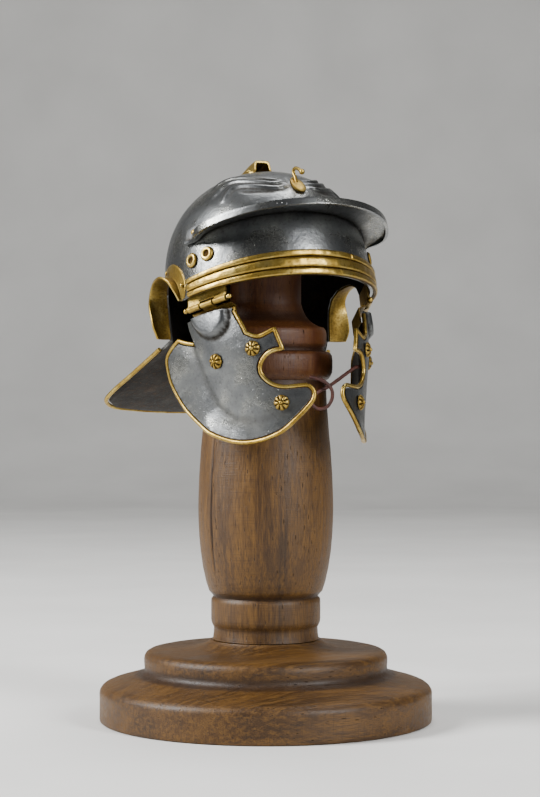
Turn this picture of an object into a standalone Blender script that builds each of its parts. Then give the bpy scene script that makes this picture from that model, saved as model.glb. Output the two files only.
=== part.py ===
"""Miniature Roman legionary helmet (Imperial Gallic pattern) on its turned wooden stand.

World frame: metres, +Z up, the helmet looks along -Y, its wearer's right is -X.
The origin is the middle of the stand's foot. The helmet has a frame of its own, tilted back
on the stand: z = 0 there is the lower edge of the brow band.
"""
import math

import bmesh
import bpy
from mathutils import Matrix, Vector
from mathutils.geometry import delaunay_2d_cdt

MM = 0.001

# Helmet as it sits on the stand
HELMET_TILT = math.radians(14.2)
RIM_HEIGHT = 71.9 * MM
RIM_SHIFT = -1.7 * MM

# Metal and clearances
SHEET = 0.5 * MM
BRASS_SHEET = 0.35 * MM
FIT = 0.12 * MM
BEAD_RADIUS = 0.38 * MM

# Bowl
BOWL_HALF_WIDTH = 17.8 * MM
BOWL_HALF_LENGTH = 18.8 * MM
BOWL_HEIGHT = 23.6 * MM
BOWL_FULLNESS = 3.0
BOWL_ROWS = 12
EAR_ARCH_HEIGHT = 5.2 * MM
NAPE_DROP = 5.6 * MM

# Ear guards: a plate on the bowl, folded out along the ear opening's edge into a hood
EAR_PLATE_WIDTH = 1.9 * MM
EAR_HOOD_REACH = 3.8 * MM
# angle from the front in degrees, edge height (above 0 a share of the ear arch, below 0 of the nape
# drop), shares of the hood's reach and of the plate's width, splay away from the opening in degrees
EAR_SECTIONS = (
    (84.0, 0.05, 0.1, 0.5, 0), (85.2, 0.38, 0.25, 1.1, 0), (88.0, 0.73, 0.4, 1.3, 5),
    (93.0, 0.95, 0.52, 1.3, 8), (99.5, 1.0, 0.58, 1.2, 8), (106.0, 0.95, 0.62, 1.0, 4),
    (111.5, 0.73, 0.72, 0.8, -8), (114.5, 0.38, 0.85, 0.6, -26), (115.8, -0.05, 0.93, 0.5, -40),
    (116.3, -0.3, 0.93, 0.4, -44), (116.7, -0.5, 0.85, 0.3, -46), (117.0, -0.66, 0.75, 0.2, -46),
)
# the same two columns for the rest of the bowl's edge
BOWL_FRONT_EDGE = (
    (0, 0.04), (10, 0.04), (20, 0.04), (30, 0.04), (40, 0.04), (50, 0.04), (60, 0.04), (72, 0.04),
)
BOWL_REAR_EDGE = (
    (118.4, -0.66), (124, -0.67), (130, -0.72), (140, -0.82), (150, -0.92), (160, -0.97), (170, -1.0),
    (180, -1.0),
)
BOWL_EDGE = BOWL_FRONT_EDGE + tuple(row[:2] for row in EAR_SECTIONS) + BOWL_REAR_EDGE

# Neck guard
NECK_START = 118.4
NECK_HALF_WIDTH = 20.4 * MM
NECK_REACH = 32.0 * MM
NECK_DROP = 10.4 * MM
NECK_ROWS = 5
# angle in degrees, shares of the half width, of the reach and of the drop, how steeply it leaves the nape
NECK_EDGE = (
    (118.4, 0.985, 0.77, 0.83, 0.26), (124, 0.99, 0.86, 0.92, 0.34), (130, 0.88, 0.935, 0.965, 0.44),
    (140, 0.68, 0.965, 0.985, 0.54), (150, 0.49, 0.985, 0.995, 0.6), (160, 0.31, 0.995, 1.0, 0.6),
    (170, 0.15, 1.0, 1.0, 0.6), (180, 0.0, 1.0, 1.0, 0.6),
)

# Brow band: three reeds
BAND_END = 76
BAND_HEIGHT_END = 2.7 * MM
BAND_HEIGHT_FRONT = 4.4 * MM
BAND_DEPTH = 0.75 * MM
BAND_COLUMNS = 34
# share of the band's height, share of its depth
BAND_SECTION = (
    (0.0, 0.35), (0.06, 0.8), (0.2, 0.85), (0.3, 0.4), (0.4, 0.9), (0.6, 0.9), (0.7, 0.4), (0.8, 0.85),
    (0.94, 0.8), (1.0, 0.35),
)

# Brow guard: a shelf with a turned down lip and a flange against the bowl
BROW_HEIGHT = 0.483 * BOWL_HEIGHT
BROW_REACH = 6.8 * MM
BROW_DROOP = 0.35 * MM
BROW_LIP = 0.8 * MM
BROW_FLANGE = 2.8 * MM
# angle in degrees, shares of the height, of the reach and of the flange
BROW_SECTIONS = (
    (0, 1.0, 1.0, 0.36), (10, 0.997, 0.98, 0.36), (20, 0.99, 0.93, 0.36), (30, 0.977, 0.85, 0.36),
    (40, 0.957, 0.75, 0.36), (48, 0.937, 0.66, 0.4), (55, 0.915, 0.57, 0.45), (60, 0.89, 0.47, 0.6),
    (64, 0.85, 0.3, 0.85), (67, 0.815, 0.13, 1.0), (71, 0.8, 0.06, 1.0), (76, 0.815, 0.05, 0.9),
)

# Cheek guards: a plate on an elliptic cone that leans in towards the chin
CHEEK_SIDE_GAP = 0.4 * MM
CHEEK_FRONT_GAP = 0.7 * MM
CHEEK_HALF_WIDTH = BOWL_HALF_WIDTH + CHEEK_SIDE_GAP
CHEEK_HALF_LENGTH = BOWL_HALF_LENGTH + CHEEK_FRONT_GAP
CHEEK_SHIFT = 1.0 * MM
CHEEK_LEAN = 0.215
CHEEK_DROP = 26.3 * MM
# near the hinge the plate runs further in and further back
CHEEK_TUCK_IN = 1.2 * MM
CHEEK_TUCK_BACK = 2.3 * MM
CHEEK_TUCK_DEPTH = 12.0 * MM
CHEEK_GRID = 1.6 * MM
CHEEK_FLARE = 0.42
CHEEK_FLARE_FROM = 58
CHEEK_FLARE_FULL = 84
BOSS_ANGLE = 65
BOSS_RAISE = 1.0 * MM
BOSS_BLEND = 0.24
BOSS_WIDTH = 4.1 * MM
BOSS_DROP = 4.4 * MM
# angle from the front in degrees, share of the drop, going forward, down, back and up again
CHEEK_OUTLINE = (
    (81, 0.129), (71, 0.129), (61, 0.129), (50.5, 0.129), (49, 0.15), (47.2, 0.25), (46.6, 0.3),
    (42, 0.332), (36, 0.315), (31.6, 0.297), (31, 0.38), (30.4, 0.463), (36, 0.465), (40.5, 0.485),
    (44.4, 0.535), (45, 0.585), (42, 0.64), (36.9, 0.671), (30.4, 0.677), (25, 0.68), (21.8, 0.71),
    (21.6, 0.765), (25, 0.82), (33, 0.892), (43, 0.965), (50, 0.99), (57, 1.0), (66, 0.993), (75, 0.955),
    (85, 0.87), (93, 0.755), (99, 0.63), (102.5, 0.5), (103, 0.4), (101.5, 0.3), (96, 0.245),
    (90, 0.207), (86, 0.24), (82.5, 0.262), (81.5, 0.19),
)
CHEEK_EDGING_START = 4
CHEEK_EDGING_END = 38
# the crease between the raised field and the flared flange: angle in degrees, share of the drop
CHEEK_CREASE = ((82.5, 0.2), (82.5, 0.29), (80.4, 0.53), (77, 0.7), (68, 0.82), (55, 0.865), (41.8, 0.85), (24, 0.77))
ROSETTE_PLACES = ((69.1, 0.439), (46.4, 0.419), (40.3, 0.785))
ROSETTE_RADIUS = 1.35 * MM
ROSETTE_HEIGHT = 1.0 * MM

# Cheek hinges
HINGE_FRONT_ANGLE = 54.0
HINGE_REAR_ANGLE = 81.6
HINGE_STAND_OFF = -0.7 * MM
HINGE_DROP = 1.7 * MM
HINGE_WALL = 0.26 * MM
HINGE_PIN_RADIUS = 0.2 * MM
HINGE_PLAY = 0.08 * MM
HINGE_BALL_RADIUS = 0.42 * MM
HINGE_LEAF_RISE = 3.4 * MM
HINGE_LEAF_FALL = 3.8 * MM

# Small fittings
EYELET_PLACES = ((72.2, 6.14 * MM), (61.3, 6.36 * MM))
EYELET_RADIUS = 1.3 * MM
EYELET_HOLE = 0.5 * MM
EYELET_HEIGHT = 0.45 * MM
BROW_RIVET_ANGLE = 69
BROW_RIVET_RISE = 0.53
RIVET_RADIUS = 0.5 * MM
RIVET_HEIGHT = 0.35 * MM
NECK_RIVET_ANGLE = 121.5
NECK_RIVET_SHARE = 0.76

# Crest holder on the crown, front hook on the brow
CREST_FRONT = -3.2 * MM
CREST_LENGTH = 11.0 * MM
CREST_HEIGHT = 2.0 * MM
CREST_REAR_HEIGHT = 0.95 * MM
CREST_TOP_HALF = 1.1 * MM
CREST_FOOT_HALF = 1.35 * MM
CREST_FLANGE_HALF = 2.8 * MM
CREST_ROWS = 5
HOOK_LEAF_LENGTH = 3.4 * MM
HOOK_LEAF_WIDTH = 2.3 * MM
HOOK_LEAF_Y = -0.777 * BOWL_HALF_LENGTH
HOOK_WIRE_RADIUS = 0.3 * MM
HOOK_BALL_RADIUS = 0.5 * MM
# the hook's wire: distance ahead of the leaf's middle, height over the bowl, both in millimetres
HOOK_ROUTE = ((0.2, 0.55), (0.8, 0.8), (1.35, 1.1), (1.55, 1.7), (1.15, 2.25), (0.5, 2.55), (-0.15, 2.75))

# Chin tie: one leather thong between the cheek guards, knotted behind the right chin
TIE_RADIUS = 0.32 * MM
# x, y, z in the helmet's frame, millimetres
TIE_ROUTE = (
    (9.5, -11.4, -13.7), (8.3, -12.0, -14.1), (6.2, -12.6, -15.3), (4.0, -13.2, -16.6), (1.7, -13.7, -17.9),
    (-0.6, -13.9, -18.9), (-1.7, -13.6, -20.1), (-0.8, -13.6, -21.5), (0.7, -14.2, -21.5), (1.5, -14.9, -20.4),
    (1.5, -15.4, -19.0), (0.7, -15.5, -17.8), (-0.6, -15.1, -16.9), (-2.0, -14.6, -16.4),
)

# Stand, turned about the world's Z axis
STAND_BASE_RADIUS = 29.0 * MM
STAND_BASE_HEIGHT = 14.0 * MM
# share of the base radius, share of the base height
BASE_PROFILE = (
    (0.0, 0.0), (0.985, 0.0), (1.0, 0.03), (1.0, 0.35), (0.99, 0.41), (0.96, 0.455), (0.85, 0.52),
    (0.75, 0.59), (0.728, 0.64), (0.733, 0.77), (0.722, 0.835), (0.69, 0.87), (0.5, 0.885), (0.39, 0.925),
    (0.335, 1.0), (0.0, 1.0),
)
COLUMN_RADIUS = 11.8 * MM
COLUMN_HEIGHT = 54.2 * MM
# share of the column's radius, share of its height between the base and the top of the knob's lip
COLUMN_PROFILE = (
    (0.0, 0.0), (0.785, 0.0), (0.77, 0.04), (0.79, 0.05), (0.81, 0.06), (0.81, 0.125), (0.77, 0.137),
    (0.84, 0.155), (0.93, 0.23), (0.985, 0.33), (1.0, 0.42), (0.985, 0.53), (0.94, 0.66), (0.9, 0.78),
    (0.895, 0.83), (0.96, 0.845), (0.99, 0.865), (0.99, 0.9), (0.955, 0.92), (0.86, 0.928), (0.9, 0.94),
    (0.9, 0.985), (0.86, 1.0),
)
NECK_POST_RADIUS = 6.2 * MM
HEAD_RADIUS = 8.0 * MM
# steps up from the lip to the neck: share of the way in, share of the rise
NECK_SWEEP = ((0.3, 0.1), (0.6, 0.28), (0.85, 0.6), (1.0, 1.0))
NECK_SWEEP_RISE = 4.2 * MM
HEAD_CLEARANCE = 0.3 * MM

TIN = ("tinned iron", (0.52, 0.53, 0.53), 0.38, 1.0)
BRASS = ("antiqued brass", (0.62, 0.45, 0.18), 0.4, 1.0)
WOOD = ("oiled hardwood", (0.22, 0.1, 0.04), 0.6, 0.0)
LEATHER = ("red brown leather", (0.16, 0.05, 0.03), 0.65, 0.0)


def material(finish):
    """One Principled material for a finish: name, linear colour, roughness, metallic."""
    name, colour, roughness, metallic = finish
    found = bpy.data.materials.get(name)
    if found:
        return found
    made = bpy.data.materials.new(name)
    made.use_nodes = True
    shader = made.node_tree.nodes["Principled BSDF"]
    shader.inputs["Base Color"].default_value = (*colour, 1.0)
    shader.inputs["Roughness"].default_value = roughness
    shader.inputs["Metallic"].default_value = metallic
    made.diffuse_color = (*colour, 1.0)
    return made


def add_object(name, mesh, finish, parent=None):
    """Link a mesh as a named object, smooth except at sharp edges."""
    mesh.materials.append(material(finish))
    mesh.shade_smooth()
    mesh.set_sharp_from_angle(angle=math.radians(40))
    made = bpy.data.objects.new(name, mesh)
    bpy.context.scene.collection.objects.link(made)
    made.parent = parent
    return made


def mesh_from(name, points, faces):
    """A mesh from points and faces."""
    mesh = bpy.data.meshes.new(name)
    mesh.from_pydata([tuple(p) for p in points], [], faces)
    mesh.validate()
    mesh.update()
    return mesh


def thicken(thing, thickness, outward):
    """Give an open sheet its wall: outward of its normals, or inward."""
    wall = thing.modifiers.new("wall", "SOLIDIFY")
    wall.thickness = thickness
    wall.offset = 1.0 if outward else -1.0
    wall.use_even_offset = True


def lathe(name, profile, sides, finish, parent=None):
    """A solid turned about Z from (radius, height) rows that start and end on the axis."""
    points = []
    rings = []
    for radius, height in profile:
        if radius == 0:
            rings.append([len(points)])
            points.append((0, 0, height))
            continue
        rings.append(list(range(len(points), len(points) + sides)))
        for k in range(sides):
            turn = 2 * math.pi * k / sides
            points.append((radius * math.cos(turn), radius * math.sin(turn), height))
    faces = []
    for low, high in zip(rings, rings[1:]):
        for k in range(sides):
            n = (k + 1) % sides
            if len(low) == 1:
                faces.append((low[0], high[n], high[k]))
            elif len(high) == 1:
                faces.append((low[k], low[n], high[0]))
            else:
                faces.append((low[k], low[n], high[n], high[k]))
    return add_object(name, mesh_from(name, points, faces), finish, parent)


def sweep(route, section, ups=None, sideways=False):
    """Points and faces of a section, (side, up) rows, carried along a route of points."""
    count = len(route)
    points = []
    for k, here in enumerate(route):
        along = (route[min(k + 1, count - 1)] - route[max(k - 1, 0)]).normalized()
        up = ups[k] if ups else Vector((1, 0, 0) if sideways else (0, 0, 1))
        side = along.cross(up).normalized()
        up = side.cross(along).normalized()
        for across, rise in section:
            points.append(here + side * across + up * rise)
    size = len(section)
    faces = []
    for k in range(count - 1):
        a, b = k * size, (k + 1) * size
        for j in range(size):
            n = (j + 1) % size
            faces.append((a + j, a + n, b + n, b + j))
    faces.append(tuple(reversed(range(size))))
    faces.append(tuple(range((count - 1) * size, count * size)))
    return points, faces


def round_section(radius, sides):
    """A round section for sweep."""
    return [
        (radius * math.cos(2 * math.pi * k / sides), -radius * math.sin(2 * math.pi * k / sides))
        for k in range(sides)
    ]


def smooth_route(route, spacing):
    """A smooth curve through a few points, as points about one spacing apart."""
    made = []
    for k in range(len(route) - 1):
        p1, p2 = route[k], route[k + 1]
        p0 = route[k - 1] if k else p1 * 2 - p2
        p3 = route[k + 2] if k + 2 < len(route) else p2 * 2 - p1
        steps = max(1, round((p2 - p1).length / spacing))
        for j in range(steps):
            t = j / steps
            bend = (p2 - p0) * t + (p0 * 2 - p1 * 5 + p2 * 4 - p3) * t * t + (p1 * 3 - p0 - p2 * 3 + p3) * t ** 3
            made.append(p1 + bend / 2)
    made.append(route[-1])
    return made


def between(rows, angle):
    """The values of a table with the angle first, at any angle."""
    for low, high in zip(rows, rows[1:]):
        if angle <= high[0]:
            t = (angle - low[0]) / (high[0] - low[0])
            return [a + (b - a) * max(0.0, t) for a, b in zip(low[1:], high[1:])]
    return list(rows[-1][1:])


def bowl_point(angle, height, out=0.0):
    """A point on the bowl's outer face: degrees from the front towards the wearer's right."""
    share = 1 - (max(height, 0.0) / BOWL_HEIGHT) ** BOWL_FULLNESS
    rho = math.sqrt(max(share, 0.0))
    turn = math.radians(angle)
    place = Vector((-BOWL_HALF_WIDTH * rho * math.sin(turn), -BOWL_HALF_LENGTH * rho * math.cos(turn), height))
    return place + bowl_normal(angle, height) * out if out else place


def bowl_normal(angle, height):
    """The outward direction of the bowl's face."""
    step = 0.1 * MM
    height = min(height, BOWL_HEIGHT - 2 * step)
    across = bowl_point(angle + 1, height) - bowl_point(angle - 1, height)
    rise = bowl_point(angle, height + step) - bowl_point(angle, height - step)
    return rise.cross(across).normalized()


def edge_height(share):
    """Height of the bowl's edge from its share of the ear arch or of the nape drop."""
    return share * (EAR_ARCH_HEIGHT if share > 0 else NAPE_DROP)


def both_sides(rows):
    """The rows' angles all round the helmet, each with its own row and its side (-1 is the left)."""
    right = [(row[0], row, 1) for row in rows]
    left = [(360 - row[0], row, -1) for row in reversed(rows) if 0 < row[0] < 180]
    return right + left


def neck_point(angle, share):
    """A point on the neck guard's upper face: 0 at the nape, 1 at its outer edge."""
    folded = min(angle, 360 - angle)
    side = -1 if angle <= 180 else 1
    width, reach, drop, steep = between(NECK_EDGE, folded)
    start = bowl_point(angle, edge_height(between(BOWL_EDGE, folded)[0]))
    end = Vector((side * width * NECK_HALF_WIDTH, reach * NECK_REACH, -drop * NECK_DROP))
    bend = start.lerp(end, 0.22)
    bend.z = start.z + (end.z - start.z) * steep
    return start.lerp(bend, share).lerp(bend.lerp(end, share), share)


def skull_bowl(seat):
    """Bowl, nape and neck guard, one raised sheet with an arch over each ear."""
    columns = both_sides(BOWL_EDGE)
    points = []
    grid = []
    for angle, row, side in columns:
        column = []
        if NECK_START <= angle <= 360 - NECK_START:
            for k in range(NECK_ROWS, 0, -1):
                column.append(len(points))
                points.append(neck_point(angle, k / NECK_ROWS))
        low = edge_height(row[1])
        for k in range(BOWL_ROWS):
            height = low + (BOWL_HEIGHT - low) * math.sin(math.pi / 2 * k / BOWL_ROWS)
            column.append(len(points))
            points.append(bowl_point(angle, height))
        grid.append(column)
    top = len(points)
    points.append(Vector((0, 0, BOWL_HEIGHT)))
    faces = []
    for k, column in enumerate(grid):
        after = grid[(k + 1) % len(grid)]
        rows = min(len(column), len(after))
        here, there = column[-rows:], after[-rows:]
        for j in range(rows - 1):
            faces.append((here[j], here[j + 1], there[j + 1], there[j]))
        faces.append((here[-1], top, there[-1]))
    bowl = add_object("skull_bowl", mesh_from("skull_bowl", points, faces), TIN, seat)
    thicken(bowl, SHEET, False)


def neck_edging(seat):
    """Brass bead along the neck guard's free edge."""
    reach = BEAD_RADIUS + FIT
    angles = [row[0] for row in NECK_EDGE]
    around = angles + [360 - angle for angle in reversed(angles[:-1])]
    rim = [neck_point(NECK_START, share) for share in (0.25, 0.5, 0.75)]
    rim += [neck_point(angle, 1.0) for angle in around]
    rim += [neck_point(360 - NECK_START, share) for share in (0.75, 0.5, 0.25)]
    middle = Vector((0, BOWL_HALF_LENGTH * 0.9, 0))
    route = []
    for k, here in enumerate(rim):
        along = (rim[min(k + 1, len(rim) - 1)] - rim[max(k - 1, 0)]).normalized()
        away = Vector((0, 0, 1)).cross(along)
        if away.dot(here - middle) < 0:
            away = -away
        away.z = 0
        route.append(here + away.normalized() * reach + Vector((0, 0, -SHEET * 0.5)))
    points, faces = sweep(route, round_section(BEAD_RADIUS, 6))
    add_object("neck_guard_edging", outward_mesh("neck_guard_edging", points, faces), BRASS, seat)


def brow_band(seat):
    """Reeded brass band along the front of the bowl's edge."""
    points = []
    size = len(BAND_SECTION) + 2
    for k in range(BAND_COLUMNS + 1):
        angle = -BAND_END + 2 * BAND_END * k / BAND_COLUMNS
        front = math.cos(math.radians(angle))
        tall = BAND_HEIGHT_END + (BAND_HEIGHT_FRONT - BAND_HEIGHT_END) * front
        for share, depth in BAND_SECTION:
            points.append(bowl_point(angle, tall * share, FIT + BAND_DEPTH * depth))
        points.append(bowl_point(angle, tall, FIT))
        points.append(bowl_point(angle, 0.0, FIT))
    faces = []
    for k in range(BAND_COLUMNS):
        a, b = k * size, (k + 1) * size
        for j in range(size):
            n = (j + 1) % size
            faces.append((a + j, b + j, b + n, a + n))
    faces.append(tuple(range(size)))
    faces.append(tuple(reversed(range(BAND_COLUMNS * size, (BAND_COLUMNS + 1) * size))))
    add_object("brow_band", outward_mesh("brow_band", points, faces), BRASS, seat)


def brow_guard(seat):
    """Peak across the brow, with a strap end on each side."""
    rows = [(-row[0], row) for row in reversed(BROW_SECTIONS) if row[0]] + [(row[0], row) for row in BROW_SECTIONS]
    points = []
    for angle, (_, height, reach, flange) in rows:
        foot = height * BROW_HEIGHT
        root = bowl_point(angle, foot, FIT)
        outward = Vector((root.x, root.y, 0)).normalized()
        rim = root + outward * reach * BROW_REACH + Vector((0, 0, -BROW_DROOP * min(1.0, reach * 2)))
        lip = rim + outward * 0.15 * BROW_LIP * reach + Vector((0, 0, -BROW_LIP * min(1.0, reach * 2)))
        points.append(bowl_point(angle, foot + flange * BROW_FLANGE, FIT))
        points.append(root)
        points.append(root.lerp(rim, 0.5) + Vector((0, 0, 0.03 * BROW_REACH * reach)))
        points.append(rim)
        points.append(lip)
    per_row = len(points) // len(rows)
    faces = []
    for k in range(len(rows) - 1):
        a, b = k * per_row, (k + 1) * per_row
        for j in range(per_row - 1):
            faces.append((a + j, b + j, b + j + 1, a + j + 1))
    guard = add_object("brow_guard", mesh_from("brow_guard", points, faces), TIN, seat)
    thicken(guard, SHEET, True)


def turned_on(name, place, normal, profile, sides, finish, seat):
    """A small turned piece that stands on a face, its axis along the normal."""
    piece = lathe(name, profile, sides, finish, seat)
    piece.location = place
    piece.rotation_mode = "QUATERNION"
    piece.rotation_quaternion = normal.to_track_quat("Z", "Y")
    return piece


def rivet_profile(radius, height):
    """A low domed head."""
    return ((0, 0), (radius, 0), (radius * 0.9, height * 0.55), (radius * 0.5, height * 0.92), (0, height))


def mirrored(point, side):
    """A point for the wearer's right (1), or its mirror image on the left (-1)."""
    return Vector((point.x * side, point.y, point.z))


def ear_guard(side, name, seat):
    """One bent brass piece: riveted plate and projecting hood."""
    points = []
    edge = [bowl_point(row[0], edge_height(row[1]), FIT) for row in EAR_SECTIONS]
    middle = bowl_point((EAR_SECTIONS[0][0] + EAR_SECTIONS[-1][0]) / 2, 0.0)
    for k, (angle, share, reach, width, splay) in enumerate(EAR_SECTIONS):
        height = edge_height(share)
        normal = bowl_normal(angle, height)
        along = (edge[min(k + 1, len(edge) - 1)] - edge[max(k - 1, 0)]).normalized()
        away = along.cross(normal).normalized()
        if away.dot(edge[k] - middle) < 0:
            away = -away
        plate = edge[k] + away * EAR_PLATE_WIDTH * width
        plate = on_bowl(plate, FIT)
        throw = normal * math.cos(math.radians(splay)) + away * math.sin(math.radians(splay))
        bend = normal * math.cos(math.radians(splay * 0.6)) + away * math.sin(math.radians(splay * 0.6))
        hood = edge[k] + normal * FIT + throw * EAR_HOOD_REACH * reach
        half = edge[k] + normal * FIT + bend * EAR_HOOD_REACH * reach * 0.5
        points += [plate, edge[k], half, hood]
    faces = []
    for k in range(len(EAR_SECTIONS) - 1):
        for j in range(3):
            a, b = k * 4 + j, (k + 1) * 4 + j
            faces.append((a, b, b + 1, a + 1) if side > 0 else (a, a + 1, b + 1, b))
    mesh = mesh_from(name, [mirrored(p, side) for p in points], faces)
    guard = add_object(name, mesh, BRASS, seat)
    thicken(guard, BRASS_SHEET, True)


def on_bowl(point, out):
    """The point pushed along the bowl's normal to lie a given distance outside it."""
    angle = math.degrees(math.atan2(-point.x / BOWL_HALF_WIDTH, -point.y / BOWL_HALF_LENGTH))
    return bowl_point(angle, point.z, out)


def cheek_unrolled(angle, share):
    """Outline row to flat plate coordinates: length round the cone, height."""
    mean = (CHEEK_HALF_WIDTH + CHEEK_HALF_LENGTH) / 2
    return Vector((mean * math.radians(angle), -share * CHEEK_DROP))


def segment_offset(spot, start, end):
    """Signed distance of a flat spot from a segment, positive on its right hand side."""
    line = end - start
    t = max(0.0, min(1.0, (spot - start).dot(line) / line.length_squared))
    gap = spot - (start + line * t)
    return math.copysign(gap.length, line.x * gap.y - line.y * gap.x)


def cheek_flare(spot):
    """How far the flange stands out of the cone at a flat spot."""
    crease = [cheek_unrolled(*row) for row in CHEEK_CREASE]
    gaps = [segment_offset(spot, a, b) for a, b in zip(crease, crease[1:])]
    nearest = min(gaps, key=abs)
    mean = (CHEEK_HALF_WIDTH + CHEEK_HALF_LENGTH) / 2
    back = (math.degrees(spot.x / mean) - CHEEK_FLARE_FROM) / (CHEEK_FLARE_FULL - CHEEK_FLARE_FROM)
    return max(0.0, nearest) * CHEEK_FLARE * max(0.12, min(1.0, back))


def cheek_boss(spot):
    """How far the half round boss under the hinge stands out at a flat spot."""
    centre = cheek_unrolled(BOSS_ANGLE, CHEEK_OUTLINE[0][1])
    radial = math.hypot((spot.x - centre.x) / BOSS_WIDTH, (spot.y - centre.y) / BOSS_DROP)
    t = max(0.0, min(1.0, (1.0 - radial) / BOSS_BLEND))
    return BOSS_RAISE * t * t * (3 - 2 * t)


def cheek_point(spot, out=0.0):
    """A flat spot carried onto the cone, the flare and the boss, on the wearer's right."""
    mean = (CHEEK_HALF_WIDTH + CHEEK_HALF_LENGTH) / 2
    turn = spot.x / mean
    place = Vector((
        -CHEEK_HALF_WIDTH * math.sin(turn) - CHEEK_LEAN * spot.y,
        CHEEK_SHIFT - CHEEK_HALF_LENGTH * math.cos(turn),
        spot.y,
    ))
    tuck = max(0.0, 1 + spot.y / CHEEK_TUCK_DEPTH) ** 2
    place += Vector((CHEEK_TUCK_IN * tuck, CHEEK_TUCK_BACK * tuck, 0))
    normal = Vector((-math.sin(turn) / CHEEK_HALF_WIDTH, -math.cos(turn) / CHEEK_HALF_LENGTH, 0)).normalized()
    return place + normal * (cheek_flare(spot) + cheek_boss(spot) + out)


def cheek_normal(spot):
    """The outward direction of the cheek guard's face."""
    step = 0.2 * MM
    along = cheek_point(spot + Vector((step, 0))) - cheek_point(spot - Vector((step, 0)))
    rise = cheek_point(spot + Vector((0, step))) - cheek_point(spot - Vector((0, step)))
    return rise.cross(along).normalized()


def inside(spot, outline):
    """Whether a flat spot lies inside the outline."""
    hit = False
    for a, b in zip(outline, outline[1:] + outline[:1]):
        if (a.y > spot.y) != (b.y > spot.y) and spot.x < a.x + (spot.y - a.y) / (b.y - a.y) * (b.x - a.x):
            hit = not hit
    return hit


def edge_distance(spot, outline):
    """Distance of a flat spot from the outline."""
    return min(abs(segment_offset(spot, a, b)) for a, b in zip(outline, outline[1:] + outline[:1]))


def cheek_inward(distance):
    """The outline moved inward wherever brass binds it, and each point's widened corner."""
    outline = [cheek_unrolled(*row) for row in CHEEK_OUTLINE]
    moved = []
    for k, here in enumerate(outline):
        legs = (here - outline[k - 1]).normalized(), (outline[(k + 1) % len(outline)] - here).normalized()
        along = (legs[0] + legs[1]).normalized()
        inward = Vector((along.y, -along.x))
        if not inside(here + inward * 0.05 * MM, outline):
            inward = -inward
        corner = 1 / max(0.7, math.sqrt((1 + legs[0].dot(legs[1])) / 2))
        bound = CHEEK_EDGING_START <= k <= CHEEK_EDGING_END
        moved.append(here + inward * distance * corner if bound else here)
    return moved


def cheek_plate(side, name, seat):
    """Tinned cheek guard plate with its boss and its flared flange."""
    outline = cheek_inward(2 * BEAD_RADIUS + FIT)
    spots = list(outline)
    west, east = min(p.x for p in outline), max(p.x for p in outline)
    south, north = min(p.y for p in outline), max(p.y for p in outline)
    for i in range(int((east - west) / CHEEK_GRID) + 1):
        for j in range(int((north - south) / CHEEK_GRID) + 1):
            spot = Vector((west + CHEEK_GRID * (i + 0.5 * (j % 2)), north - CHEEK_GRID * j))
            if inside(spot, outline) and edge_distance(spot, outline) > 0.45 * CHEEK_GRID:
                spots.append(spot)
    ring = [(k, (k + 1) % len(outline)) for k in range(len(outline))]
    flat, _, tris, _, _, _ = delaunay_2d_cdt(spots, ring, [], 1, 1e-7)
    faces = []
    for tri in tris:
        a, b, c = (flat[k] for k in tri)
        turn = (b - a).x * (c - a).y - (b - a).y * (c - a).x
        faces.append(tuple(tri) if (turn > 0) == (side < 0) else tuple(reversed(tri)))
    mesh = mesh_from(name, [mirrored(cheek_point(spot), side) for spot in flat], faces)
    plate = add_object(name, mesh, TIN, seat)
    thicken(plate, SHEET, False)


def cheek_edging(side, name, seat):
    """Brass bead round the cheek guard's free edge."""
    middle = cheek_inward(BEAD_RADIUS)[CHEEK_EDGING_START:CHEEK_EDGING_END + 1]
    route = [mirrored(cheek_point(spot, -SHEET / 2), side) for spot in middle]
    ups = [mirrored(cheek_normal(spot), side) for spot in middle]
    points, faces = sweep(route, round_section(BEAD_RADIUS, 6), ups=ups)
    add_object(name, outward_mesh(name, points, faces), BRASS, seat)


def hinge_axis():
    """Ends and directions of the right hinge: front, rear, along, outward."""
    front = bowl_point(HINGE_FRONT_ANGLE, 0.0)
    rear = bowl_point(HINGE_REAR_ANGLE, 0.0)
    along = (rear - front).normalized()
    outward = Vector((along.y, -along.x, 0)).normalized()
    if outward.x > 0:
        outward = -outward
    lift = outward * HINGE_STAND_OFF + Vector((0, 0, -HINGE_DROP))
    return front + lift, rear + lift, along, outward


def cheek_inset(fall):
    """Where a straight leaf behind the cheek guard's plate runs, this far above the hinge's axis."""
    front, rear, along, outward = hinge_axis()
    corners = [cheek_unrolled(CHEEK_OUTLINE[k][0], 0.0) for k in (0, 3)]
    for corner in corners:
        corner.y = fall - HINGE_DROP
    nearest = min((cheek_point(corner) - front).dot(outward) for corner in corners)
    return nearest - SHEET - FIT - HINGE_WALL


def strip_section(path, thickness):
    """Closed outline of a bent strip from its middle line."""
    left = []
    right = []
    for k, here in enumerate(path):
        along = (path[min(k + 1, len(path) - 1)] - path[max(k - 1, 0)]).normalized()
        away = Vector((-along.y, along.x)) * thickness / 2
        left.append(here + away)
        right.append(here - away)
    return left + right[::-1]


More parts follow.
